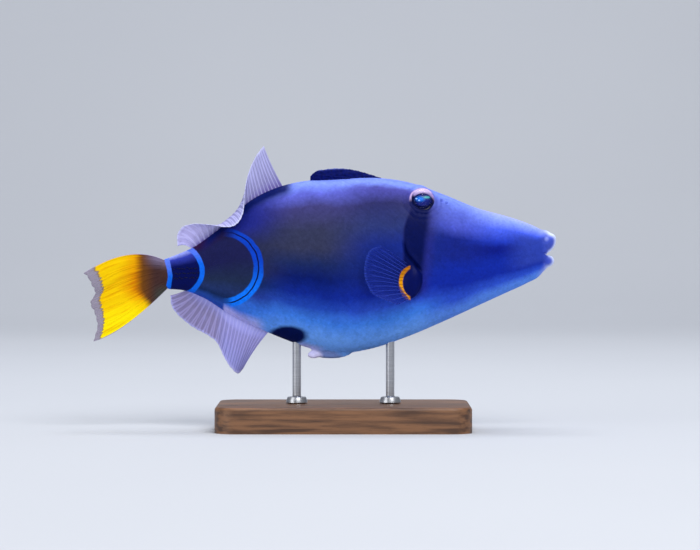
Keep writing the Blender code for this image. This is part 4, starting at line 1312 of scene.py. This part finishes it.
def ray_heights(u, v, rays, fork, thick, thin):
    """Height from 0 to 1 of the rays, which fork twice on their way to the margin."""
    phase = u * (rays - 1)
    first = FORK_SPREAD * np.clip((v - fork) / (1 - fork), 0, 1) ** FORK_EASE
    second = SECOND_FORK_SPREAD * np.clip((v - fork - SECOND_FORK_LATER) / (1 - fork), 0, 1)
    away = np.abs(np.abs(np.abs(phase - np.round(phase)) - first) - second)
    width = thick - (thick - thin) * v
    return np.clip(1 - (away / width) ** 2, 0, 1)


def bowed(start, bow, end, t):
    """Points on an arc that leaves a start, is pulled to its bow and ends at a tip."""
    return start * (1 - t) ** 2 + bow * 2 * t * (1 - t) + end * t**2


def margin(u, rays, ragged, random):
    """How far each column reaches: scallops between the rays, and some rays worn shorter."""
    worn = random.uniform(0, 1, rays) ** 3 * ragged
    phase = u * (rays - 1)
    scallop = SCALLOP * (1 - np.abs(np.cos(math.pi * phase)))
    return 1 - scallop - np.interp(phase, np.arange(rays), worn)


def fin(name, lines, rays, material, slot, nodes, across=9, rows=56, root_half=0.36, ray_half=0.13,
        thick=0.22, thin=0.1, fork=0.35, ragged=0.02, sheath=0.0, waves=0.25, seed=1):
    """A closed fin piece that keeps its ray height, reach and place along it for its finish."""
    random = np.random.default_rng(seed)
    bm = bmesh.new()
    columns = (rays - 1) * across
    bmesh.ops.create_grid(bm, x_segments=columns, y_segments=rows, size=0.5)
    copy = bmesh.ops.duplicate(bm, geom=bm.verts[:] + bm.edges[:] + bm.faces[:])["geom"]
    bmesh.ops.reverse_faces(bm, faces=[f for f in copy if isinstance(f, bmesh.types.BMFace)])
    bm.verts.index_update()
    rear = {v.index for v in copy if isinstance(v, bmesh.types.BMVert)}
    flat = np.array([v.co for v in bm.verts])
    u, v = np.clip(flat[:, 0] + 0.5, 0, 1), np.clip(flat[:, 1] + 0.5, 0, 1)
    wave_phase = random.uniform(0, 2 * math.pi, 3)

    def middle(u, v):
        reach = v * margin(np.clip(u, 0, 1), rays, ragged, np.random.default_rng(seed + 50))
        root, bow, tip = (line(np.clip(u, 0, 1)) for line in lines)
        points = bowed(root, bow, tip, reach[..., None])
        sway = sum(np.sin(u * k * WAVES_ALONG + v * WAVES_OUT + wave_phase[k - 1]) / k
                   for k in (1, 2, 3))
        points[..., 1] += waves * sway * v**WAVES_EASE
        return points

    step = STEP_ALONG / columns
    outer, inner = np.minimum(v + STEP_OUT, 1), np.maximum(v - STEP_OUT, 0)
    normal = np.cross(middle(u + step, v) - middle(u - step, v), middle(u, outer) - middle(u, inner))
    normal /= np.maximum(np.linalg.norm(normal, axis=1), 1e-9)[:, None]
    ray = ray_heights(u, v, rays, fork, thick, thin)
    round_root = (1 - ROOT_ROUNDING * (2 * u - 1) ** 2) ** 0.5
    half = SKIN_HALF + (root_half - SKIN_HALF) * round_root * (1 - v) ** 3
    half = half + sheath * np.exp(-((v / SHEATH_REACH) ** 2))
    joints = 1 + JOINT_DEPTH * np.sin(v * rows * JOINTS_A_ROW) * (v > JOINTS_FROM)
    half = half + ray_half * ray * (1 - v) ** RAY_TAPER * joints
    sag = SAG * (1 - ray) * np.sin(math.pi * v) * np.sin(u * SAGS)
    front = np.array([k not in rear for k in range(len(u))])
    move_points(bm, middle(u, v) + normal * (np.where(front, half, -half) + sag)[:, None])
    bmesh.ops.bridge_loops(bm, edges=[e for e in bm.edges if e.is_boundary])
    piece = new_piece(name, faces_out(bm), material, slot, *nodes)
    for label, values in (("ray", ray), ("reach", v), ("along", u)):
        mark(piece, label, values)


print("fin helpers ready")

# %% [markdown]
# ## Fin finishes
#
# Fin skin is thinner than paper, so some of what lies behind it shows through, while the rays stay
# solid. The finish reads the ray height, the way out from the root and the place along the fin
# that each fin carries, and mixes the root colour, the outer colour, pale rays and a clear margin.

# %% Fin materials
STREAKS, STREAKS_ALONG = 0.07, 0.004
TAIL_STREAKS, TAIL_STREAKS_ALONG = 0.026, 0.002
TAIL_BASE_END, TAIL_BASE_LOW_END = -84.6, -79.6
WARM_PATCHES = (
    ("tail amber", 1, ("far", 1.5, 6.5)),
    ("tail yellow", 1, ("far", 5, 13)),
    ("tail lemon", 0.9, ("low", 67, 59)),
    ("tail amber", 0.7, ("streaks", 0.03, 0.2)))
# The first of these is painted shade, brown between the yellow teeth and the pale margin.
TAIL_MARGIN = (
    ("painted saw edge shade", 1, ("out", 0.885, 0.91)),
    ("tail margin", 1, ("out", 0.9, 0.925)),
    ("tail outline", 1, ("from middle", 0.488, 0.498)))


def fin_fields(place, across, lengthways):
    """Ray height, way out and place along a fin, and noise around 0 in streaks along its rays."""
    ray, reach, along = (attribute(place, label) for label in ("ray", "reach", "along"))
    lengthwise = place.id_data.nodes.new("ShaderNodeCombineXYZ")
    feed(lengthwise.inputs[0], along * across)
    feed(lengthwise.inputs[1], reach * lengthways)
    return ray, reach, along, noise(lengthwise.outputs[0], 1.0, 3) - 0.5


def fin_finish(name, kind, clearness, clear_from=0.2, ray_mix=0.45, band=False, rear=None):
    """Fin skin that is clearer between the rays, in the five palette colours of its kind."""
    material, shader, place = new_material(name)
    ray, reach, _, streaks = fin_fields(place, STREAKS, STREAKS_ALONG)
    x, _, z = split_place(place)
    root, middle, outer, bone, edge = (
        f"{kind} {part}" for part in ("root", "middle", "outer", "ray", "edge"))
    body = painted(root, {"reach": reach + streaks * 0.3},
                   ((middle, 1, ("reach", 0.05, 0.4)), (outer, 1, ("reach", 0.35, 0.85))))
    if rear:
        body = blend(x.rise(*rear) * reach.rise(0.1, 0.5), body, f"{kind} rear")
    body = blend(ray * (reach.rise(1.1, 0.5) * ray_mix if band else ray_mix), body, bone)
    body = blend(streaks.rise(0.0, 0.25) * 0.35, body, root)
    body = blend((reach + streaks * 0.1).rise(0.93, 0.99), body, edge)
    solid = ray * 0.5 + (1.0 - clearness)
    if band:
        orange = orange_band(x, z) * reach.rise(0.3, 0.2)
        body = blend(orange, body, orange_shade(z))
        solid = solid.math("MAXIMUM", orange)
    opaque = reach.rise(clear_from + 0.3, clear_from).math("MAXIMUM", solid)
    finish(shader, {"Base Color": body, "Roughness": streaks * 0.2 + 0.5,
                    "Alpha": opaque.math("MINIMUM", 1.0), "Specular IOR Level": 0.08},
           streaks, 0.08)
    return material


def tail_finish():
    """A brown base, orange that turns to yellow along the rays, and a pale worn margin, with
    painted brown shade beside the teeth of its saw edge.
    """
    material, shader, place = new_material("yellow_tail_skin")
    ray, reach, along, streaks = fin_fields(place, TAIL_STREAKS, TAIL_STREAKS_ALONG)
    x, _, z = split_place(place)
    behind = z.rise(66.0, 57.0) * (TAIL_BASE_LOW_END - TAIL_BASE_END) + TAIL_BASE_END - x
    far = behind + streaks * 12.0 + abs(z - 68.0) * 0.35
    out = reach + streaks * 0.07 + ray * 0.02
    fields = {"far": far, "low": z * 0.8 - x * 0.2 + streaks * 9.0, "streaks": streaks, "out": out,
              "from middle": abs(along - 0.5)}
    warm = painted("tail orange", fields, WARM_PATCHES)
    body = blend((behind + streaks * 3.0).rise(-2.4, 2.6), tail_base(x, z), warm)
    body = painted(body, fields, TAIL_MARGIN)
    opaque = ray * 0.3 + out.rise(0.93, 0.88) * 0.4 + 0.6
    finish(shader, {"Base Color": body, "Roughness": streaks * 0.2 + 0.45,
                    "Alpha": opaque.math("MINIMUM", 1.0), "Specular IOR Level": 0.05},
           streaks, 0.1)
    return material


PALE_FIN = fin_finish("pale_fin_skin", "dorsal", 0.28, rear=(-40.0, -54.0))
ANAL_FIN = fin_finish("anal_fin_skin", "anal", 0.28, ray_mix=0.3, rear=(-43.0, -50.0))
BLUE_FIN = fin_finish("clear_blue_fin_skin", "pectoral", 0.55, 0.02, 0.5, True)
TAIL_FIN = tail_finish()
print("fin finishes:", 4)

# %% [markdown]
# ## The fins themselves
#
# The lines are the same as those of the solids. The front of the soft dorsal fin stands up, its
# middle curls over to the fish's right and its rear sweeps back. The pectoral fins count their
# distance outwards from the body's side.

# %% Lines of the fins: place, x, y, z
ROOT_SINK = 2.6
DORSAL_ROOT_X, ANAL_ROOT_X = (-16.4, -58.4), (-22.8, -60.0)
DORSAL_BOW = ((0, -23.1, 0, 122.6), (0.15, -27.0, 0, 119.5), (0.35, -32.6, 0.6, 113),
              (0.5, -37.2, -1.0, 107.2), (0.66, -42.8, -5.0, 101.8), (0.8, -50.2, -5.0, 96.2),
              (0.9, -56.2, -2.0, 93.4), (1, -63.0, 0, 87.4))
DORSAL_TIP = ((0, -26.4, 0.3, 132.2), (0.15, -29.3, 0.8, 128.6), (0.35, -33.6, 0.8, 119.2),
              (0.46, -34.9, -3.6, 111.4), (0.56, -35.7, -9.0, 100.8), (0.66, -38.6, -10.8, 95.4),
              (0.75, -44.0, -9.4, 94.2), (0.83, -52.2, -6.2, 95.4), (0.89, -60.0, -3.0, 95.6),
              (0.93, -64.8, -1.4, 94.0), (0.965, -66.9, -0.4, 90.2), (1, -66.6, 0.4, 85.2))
ANAL_BOW = ((0, -30.6, 0, 38.6), (0.3, -37.6, -3.0, 38.5), (0.5, -43.0, -2.6, 43.0),
            (0.65, -49.6, 0.8, 51.4), (0.84, -59.0, 2.0, 56.4), (1, -65.0, 0.8, 63.4))
ANAL_TIP = ((0, -36.3, -0.6, 27.7), (0.18, -38.6, -3.2, 26.1), (0.35, -41.6, -5.2, 28.8),
            (0.48, -44.8, -4.4, 34.0), (0.6, -48.8, -0.6, 41.2), (0.72, -57.0, 3.0, 45.9),
            (0.84, -64.6, 3.2, 51.2), (0.93, -69.4, 2.0, 57.4), (1, -69.9, 0.9, 62.4))
TAIL_ROOT = ((0, -70.9, 0, 78.0), (1, -70.6, 0, 66.2))
TAIL_BOW = ((0, -88.4, -1.4, 87.6), (0.5, -88.4, 0.6, 66.6), (1, -92.4, 0.8, 44.2))
TAIL_TIP = ((0, -110, -3.2, 72.8), (0.12, -107.4, -2.4, 68.8), (0.28, -105.0, -1.0, 64.2),
            (0.5, -107.2, 0.9, 58.2), (0.62, -105.4, 1.6, 54.4), (0.8, -104.3, 2.2, 48.2),
            (1, -105.9, 2.4, 40.9))
PECTORAL_ROOT = ((0, 42.8, -0.6, 75.4), (0.5, 40.2, -0.6, 68.2), (1, 43.2, -0.6, 62.0))
PECTORAL_BOW = ((0, 34.2, 4.4, 82.2), (0.5, 30.0, 5.2, 72.6), (1, 38.8, 3.6, 59.6))
PECTORAL_TIP = ((0, 28.0, 7.4, 85.8), (0.2, 22.9, 8.8, 83.8), (0.4, 20.5, 9.4, 77.6),
                (0.6, 20.7, 9.2, 70.2), (0.8, 24.2, 8.2, 63.6), (1, 35.4, 5.6, 58.6))
print("tips of the dorsal and anal fins in mm:", DORSAL_TIP[0][1:], ANAL_TIP[0][1:])

# %% Grow the fins


def midline_root(ends, height):
    """A root line on the middle plane, at this height over x."""
    def root(u):
        x = ends[0] + (ends[1] - ends[0]) * u
        return np.stack([x, 0 * x, height(x)], -1)
    return root


def pectoral_line(keys, side):
    """A line of a pectoral fin, whose y counts outwards from the body's side at its root."""
    line = line_in_space(keys)

    def place(u):
        points = line(u)
        points[..., 1] = side * (side_y(PAD_X, PAD_Z) + points[..., 1])
        return points

    return place


dorsal_lines = (midline_root(DORSAL_ROOT_X, lambda x: axis_height(x) + back(x) - ROOT_SINK),
                line_in_space(DORSAL_BOW), line_in_space(DORSAL_TIP))
fin("soft_dorsal_fin", dorsal_lines, 26, PALE_FIN, "fin_membrane",
    ("soft_dorsal_front", "soft_dorsal_rear"), sheath=0.5, seed=3)
anal_lines = (midline_root(ANAL_ROOT_X, lambda x: axis_height(x) - belly(x) + ROOT_SINK),
              line_in_space(ANAL_BOW), line_in_space(ANAL_TIP))
fin("anal_fin_rays", anal_lines, 23, ANAL_FIN, "fin_membrane", ("anal_fin",), sheath=0.7, seed=5)
tail_lines = [line_in_space(keys) for keys in (TAIL_ROOT, TAIL_BOW, TAIL_TIP)]
fin("tail_fin_rays", tail_lines, 12, TAIL_FIN, "tail_membrane", ("tail_fin",), across=20, rows=64,
    root_half=1.9, ray_half=0.2, thick=0.24, fork=0.25, ragged=0.015, seed=8)
for name, side in SIDES.items():
    lines = [pectoral_line(keys, side) for keys in (PECTORAL_ROOT, PECTORAL_BOW, PECTORAL_TIP)]
    fin("pectoral_rays_" + name, lines, 14, BLUE_FIN, "fin_membrane", ("pectoral_fin_" + name,),
        across=16, rows=44, root_half=0.5, ray_half=0.07, thick=0.12, thin=0.05, fork=0.7,
        waves=0.12, seed=13)

# %% [markdown]
# ## The folded spiny fin
#
# The first dorsal fin is three spines with dark skin between them. At rest it lies back in a
# groove, a long low blade with a pale, worn upper edge. The blade is a ringed tube squeezed to its
# outline, with folds of slack skin pressed into its sides, and the spines lie along it.

# %% Spiny fin
BLADE_ENDS = (-4.7, 29.0)
BLADE_TOP = ((-4.7, 117.9), (-2.3, 120.0), (2, 121.0), (8.7, 121.5), (13.8, 121.1), (18.5, 120.1),
             (23.6, 118.6), (29, 116.8))
BLADE_HALF = ((-4.7, 0.5), (-2.3, 1.3), (4, 1.9), (14, 1.8), (24, 1.2), (29, 0.6))
BLADE_SUNK, BLADE_UP, BLADE_OUT = 1.5, 0.6, 0.8
WEAR_DEPTH, WEAR_LONG, WEAR_SHORT = 0.12, 1.3, 3.1
FOLD_DEPTH, FOLD_SLOPE, FOLDS, SLACK_DEPTH, SLACK = 0.1, 0.1, 3.0, 0.04, 1.7
SPINE_RINGS, SPINE_RING_DEPTH, SPINE_BLUNT, SPINE_POINT = 90, 0.04, 1.02, 12
SPINES = (((28.0, 0.0, 115.4), (-2.0, 0.0, 120.4), 1.3, 0.45, 2.0),
          ((14.0, -1.5, 116.6), (-3.2, -1.5, 118.4), 0.9, 0.3, 0.4),
          ((6.0, 1.5, 116.6), (-3.6, 1.5, 117.4), 0.8, 0.3, 0.4))


def blade():
    """The folded skin, with slack folds along it and a worn edge."""
    bm, t, turn = ringed_tube(110, 48)
    x = BLADE_ENDS[0] + (BLADE_ENDS[1] - BLADE_ENDS[0]) * t
    foot = axis_height(x) + back(x) - BLADE_SUNK
    top = smooth_curve(BLADE_TOP)(x) + WEAR_DEPTH * np.sin(x * WEAR_SHORT) * np.sin(x * WEAR_LONG)
    up, out = np.maximum(np.cos(turn), -0.3), np.sin(turn)
    z = foot + (top - foot) * np.sign(up) * np.abs(up) ** BLADE_UP
    folds = 1 + FOLD_DEPTH * np.sin((z - x * FOLD_SLOPE) * FOLDS) * np.clip(up * 2, 0, 1)
    folds += SLACK_DEPTH * np.sin(x * SLACK + z)
    y = smooth_curve(BLADE_HALF)(x) * np.sign(out) * np.abs(out) ** BLADE_OUT * folds
    move_points(bm, np.stack([x, y, z], -1))
    return faces_out(bm)


def spine(base, tip, thick, thin, bow):
    """One spine lying back along the blade."""
    start, end = np.array(base), np.array(tip)
    top = (start + end) / 2 + np.array((0, 0, bow))

    def path(t):
        return bowed(start, top, end, t[:, None])

    def radius(t):
        rings = 1 + SPINE_RING_DEPTH * np.sin(t * SPINE_RINGS)
        return (thick + (thin - thick) * t) * rings * (SPINE_BLUNT - t**SPINE_POINT)

    return tapered_tube(path, radius, 60, 16)


def spiny_finish():
    """Matt navy skin that pales along its worn upper edge."""
    material, shader, place = new_material("folded_spiny_skin")
    x, _, z = split_place(place)
    streaks = noise(place, 1.0, 3)
    edge = (z + (x - 9) * (x - 9) * 0.008 + streaks * 0.8).rise(121.3, 121.9) * x.rise(20, 8)
    body = blend(edge * 0.6, blend(streaks.rise(0.3, 0.7), "blade dark", "blade navy"), "blade edge")
    finish(shader, {"Base Color": body, "Roughness": streaks * 0.3 + 0.45,
                    "Specular IOR Level": 0.05}, streaks, 0.15)
    return material


new_piece("folded_spiny_fin", joined([blade(), *(spine(*sizes) for sizes in SPINES)]),
          spiny_finish(), "spiny_fin", "spiny_dorsal_fin")

# %% [markdown]
# ## Spines of the tail stem
#
# Every fish of this kind carries a few rows of small hooked spines on each side of its tail stem,
# which point forwards. They are black on the black stem, so only a close look finds them.

# %% Stem spines
SPINE_ROWS, SPINES_IN_ROW = 3, 10
SPINES_FROM, SPINE_APART, ROWS_APART = -68.0, 1.15, 2.2
STEM_SPINE_LENGTH, STEM_SPINE_THICKNESS, STEM_SPINE_BLUNT, STEM_SPINE_ROOT = 1.1, 0.32, 1.05, 0.3
SPINE_LEAN = (0.9, 0.95)


def thorn_radius(t):
    """Thickness of a small spine from its root at 0 to its point at 1."""
    return STEM_SPINE_THICKNESS * (STEM_SPINE_BLUNT - t)


def stem_spines():
    """Short cones on both sides of the stem, pointing forwards and out."""
    random = np.random.default_rng(21)
    cones = []
    for side in SIDES.values():
        for k in range(SPINE_ROWS * SPINES_IN_ROW):
            row, place = divmod(k, SPINES_IN_ROW)
            x = SPINES_FROM + place * SPINE_APART + 0.5 * (row % 2) + random.uniform(-0.3, 0.3)
            z = axis_height(x) + (row - 1) * ROWS_APART + random.uniform(-0.35, 0.35)
            root = np.array((x, side * (side_y(x, z) - STEM_SPINE_ROOT), z))
            reach = np.array((SPINE_LEAN[0], side * SPINE_LEAN[1], 0)) * STEM_SPINE_LENGTH

            def path(t, root=root, reach=reach):
                return root + reach * t[:, None]

            cones.append(tapered_tube(path, thorn_radius, 4, 7))
    return joined(cones)


def spine_finish():
    """Black horn, a little paler at the points."""
    material, shader, place = new_material("black_horn")
    grain = noise(place, 0.6)
    finish(shader, {"Base Color": blend(grain, "horn black", "horn blue"),
                    "Roughness": grain * 0.2 + 0.35, "Specular IOR Level": 0.2})
    return material


new_piece("stem_spines", stem_spines(), spine_finish(), "spiny_fin")

# %% [markdown]
# ## The stand
#
# A museum would hold the fish on two thin steel rods over a wooden board. The solids already have
# the right shape, so a rounder board and finer turned rods take their place, one with grain that
# follows the wood's length and the other with the fine rings that brushing leaves.

# %% Board and rods
BASE_EDGE, BASE_CORNER = 1.5, 10.0
FOOT_PROFILE = ((0, 0), (4.7, 0), (5.0, 0.3), (4.9, 1.0), (4.4, 2.6), (4.0, 2.9), (2.3, 3.0),
                (2.0, 3.3))
ROD_RADIUS, ROD_INTO_FISH = 2.0, 1.0
STAND_CRISP = 35
WOOD_STRETCH, STEEL_STRETCH = (0.12, 1, 1.6), (0.2, 0.2, 6)


def rounded(bm, edges, offset, segments):
    """Rounds these edges of a bmesh by this radius in millimetres."""
    bmesh.ops.bevel(bm, geom=edges, offset=offset * MM, segments=segments, profile=0.5,
                    affect="EDGES", material=-1)


def board():
    """A flat board with round corners and a soft upper edge."""
    bm = bmesh.new()
    bmesh.ops.create_cube(bm, size=1)
    low, high = (np.array(corner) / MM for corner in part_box("stand_base"))
    size, middle = high - low, (low + high) / 2
    moved(bm, Matrix.Translation(Vector(middle) * MM) @ Matrix.Diagonal((*(size * MM), 1)))
    upright = [e for e in bm.edges if abs(e.verts[0].co.z - e.verts[1].co.z) > size[2] * MM / 2]
    rounded(bm, upright, BASE_CORNER, 24)
    top = high[2] * MM - 1e-6
    rounded(bm, [e for e in bm.edges if all(v.co.z > top for v in e.verts)], BASE_EDGE, 8)
    return bm


def rod(node):
    """A turned rod with a collar at its foot, inside its solid's own box."""
    low, high = (np.array(corner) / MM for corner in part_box(node))
    top = high[2] + ROD_INTO_FISH
    foot = [(radius, low[2] + up) for radius, up in FOOT_PROFILE]
    bm = turned([*foot, (ROD_RADIUS, top), (0, top)], 40)
    return moved(bm, Matrix.Translation(((low[0] + high[0]) / 2 * MM, 0, 0)))


def stretched(place, scale):
    """The place in a space scaled along its axes, which draws noise out along the small ones."""
    stretch = place.id_data.nodes.new("ShaderNodeMapping")
    feed(stretch.inputs["Scale"], scale)
    feed(stretch.inputs["Vector"], place)
    return stretch.outputs[0]


def wood_finish():
    """Oiled dark wood with grain along the board."""
    material, shader, place = new_material("oiled_wood")
    grain = stretched(place, WOOD_STRETCH)
    rings, pores = noise(grain, 3.2, 4), noise(grain, 0.5, 2)
    body = blend(rings.rise(0.32, 0.66), "wood dark", "wood light")
    body = blend(pores.rise(0.6, 0.75) * 0.5, body, "wood pore")
    finish(shader, {"Base Color": body, "Roughness": rings * 0.2 + 0.38}, pores, 0.06)
    return material


def steel_finish():
    """Brushed steel with fine rings round the rod."""
    material, shader, place = new_material("brushed_steel")
    rings = noise(stretched(place, STEEL_STRETCH), 1.4, 3)
    finish(shader, {"Base Color": blend(rings, "steel dark", "steel light"),
                    "Roughness": rings * 0.2 + 0.22, "Metallic": 1}, rings, 0.02)
    return material


new_piece("stand_board", board(), wood_finish(), "stand_wood", "stand_base", crisp=STAND_CRISP)
steel = steel_finish()
for node in ("stand_rod_front", "stand_rod_rear"):
    new_piece(node + "_turned", rod(node), steel, "stand_steel", node, crisp=STAND_CRISP)

# %% [markdown]
# ## Studio
#
# A plain pale floor that curves up behind the fish, one large soft light from above and in front,
# a weaker one from the left, one along the back and one on the wall. Large lights keep the shadows
# soft and let the blues stay clear.

# %% Floor and lights
FLOOR_HALF_WIDTH, FLOOR_FRONT, FLOOR_BEND, SWEEP_RADIUS, WALL_HEIGHT = 4.0, -3.5, 1.4, 0.9, 3.0
LIGHTS = (("key", (0.5, -1.2, 1.3), 1.0, 24.5, (1, 1, 1), VIEW_CENTRE),
          ("fill", (-1.3, -1.0, 0.5), 1.0, 6.6, (1, 1, 1), VIEW_CENTRE),
          ("top", (0.0, 0.25, 1.5), 0.9, 13.5, (0.92, 0.95, 1), VIEW_CENTRE),
          ("wall", (0.0, 0.9, 1.7), 1.2, 13, (0.95, 0.97, 1), (0, 2.3, 0.5)))
AIR_COLOUR, AIR_STRENGTH = (0.9, 0.93, 1, 1), 0.33


def studio_floor():
    """A floor that sweeps up into a wall."""
    bm = bmesh.new()
    bmesh.ops.create_grid(bm, x_segments=1, y_segments=64, size=0.5)
    floor_run, sweep_run = FLOOR_BEND - FLOOR_FRONT, SWEEP_RADIUS * math.pi / 2
    total = floor_run + sweep_run + WALL_HEIGHT
    for vert in bm.verts:
        run = (vert.co.y + 0.5) * total
        angle = min(max((run - floor_run) / SWEEP_RADIUS, 0), math.pi / 2)
        flat, wall = min(run, floor_run), max(run - floor_run - sweep_run, 0)
        y = FLOOR_FRONT + flat + SWEEP_RADIUS * math.sin(angle)
        z = SWEEP_RADIUS * (1 - math.cos(angle)) + wall
        vert.co = (vert.co.x * 2 * FLOOR_HALF_WIDTH, y, z)
    mesh = mesh_of(bm, "studio_floor")
    mesh.shade_smooth()
    material, shader, place = new_material("pale_paper")
    paper = blend(noise(place, 400), "paper grey", "paper white")
    finish(shader, {"Base Color": paper, "Roughness": 0.9})
    mesh.materials.append(material)
    in_scene("studio_floor", mesh)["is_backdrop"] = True


studio_floor()
for name, place, size, power, tint, target in LIGHTS:
    lamp = bpy.data.lights.new(name, "AREA")
    lamp.size, lamp.energy, lamp.color = size, power, tint
    look_at(in_scene(name, lamp), place, target)
world = bpy.data.worlds.new("studio_air")
world.use_nodes = True
air = world.node_tree.nodes["Background"]
feed(air.inputs["Color"], AIR_COLOUR)
feed(air.inputs["Strength"], AIR_STRENGTH)
bpy.context.scene.world = world
print("lights:", len(LIGHTS))

# %% Compare both boxes and finish
looks_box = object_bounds()
gaps = [abs(a - b) / MM for low, high in zip(cad_box, looks_box) for a, b in zip(low, high)]
print("largest difference in mm:", round(max(gaps), 2))
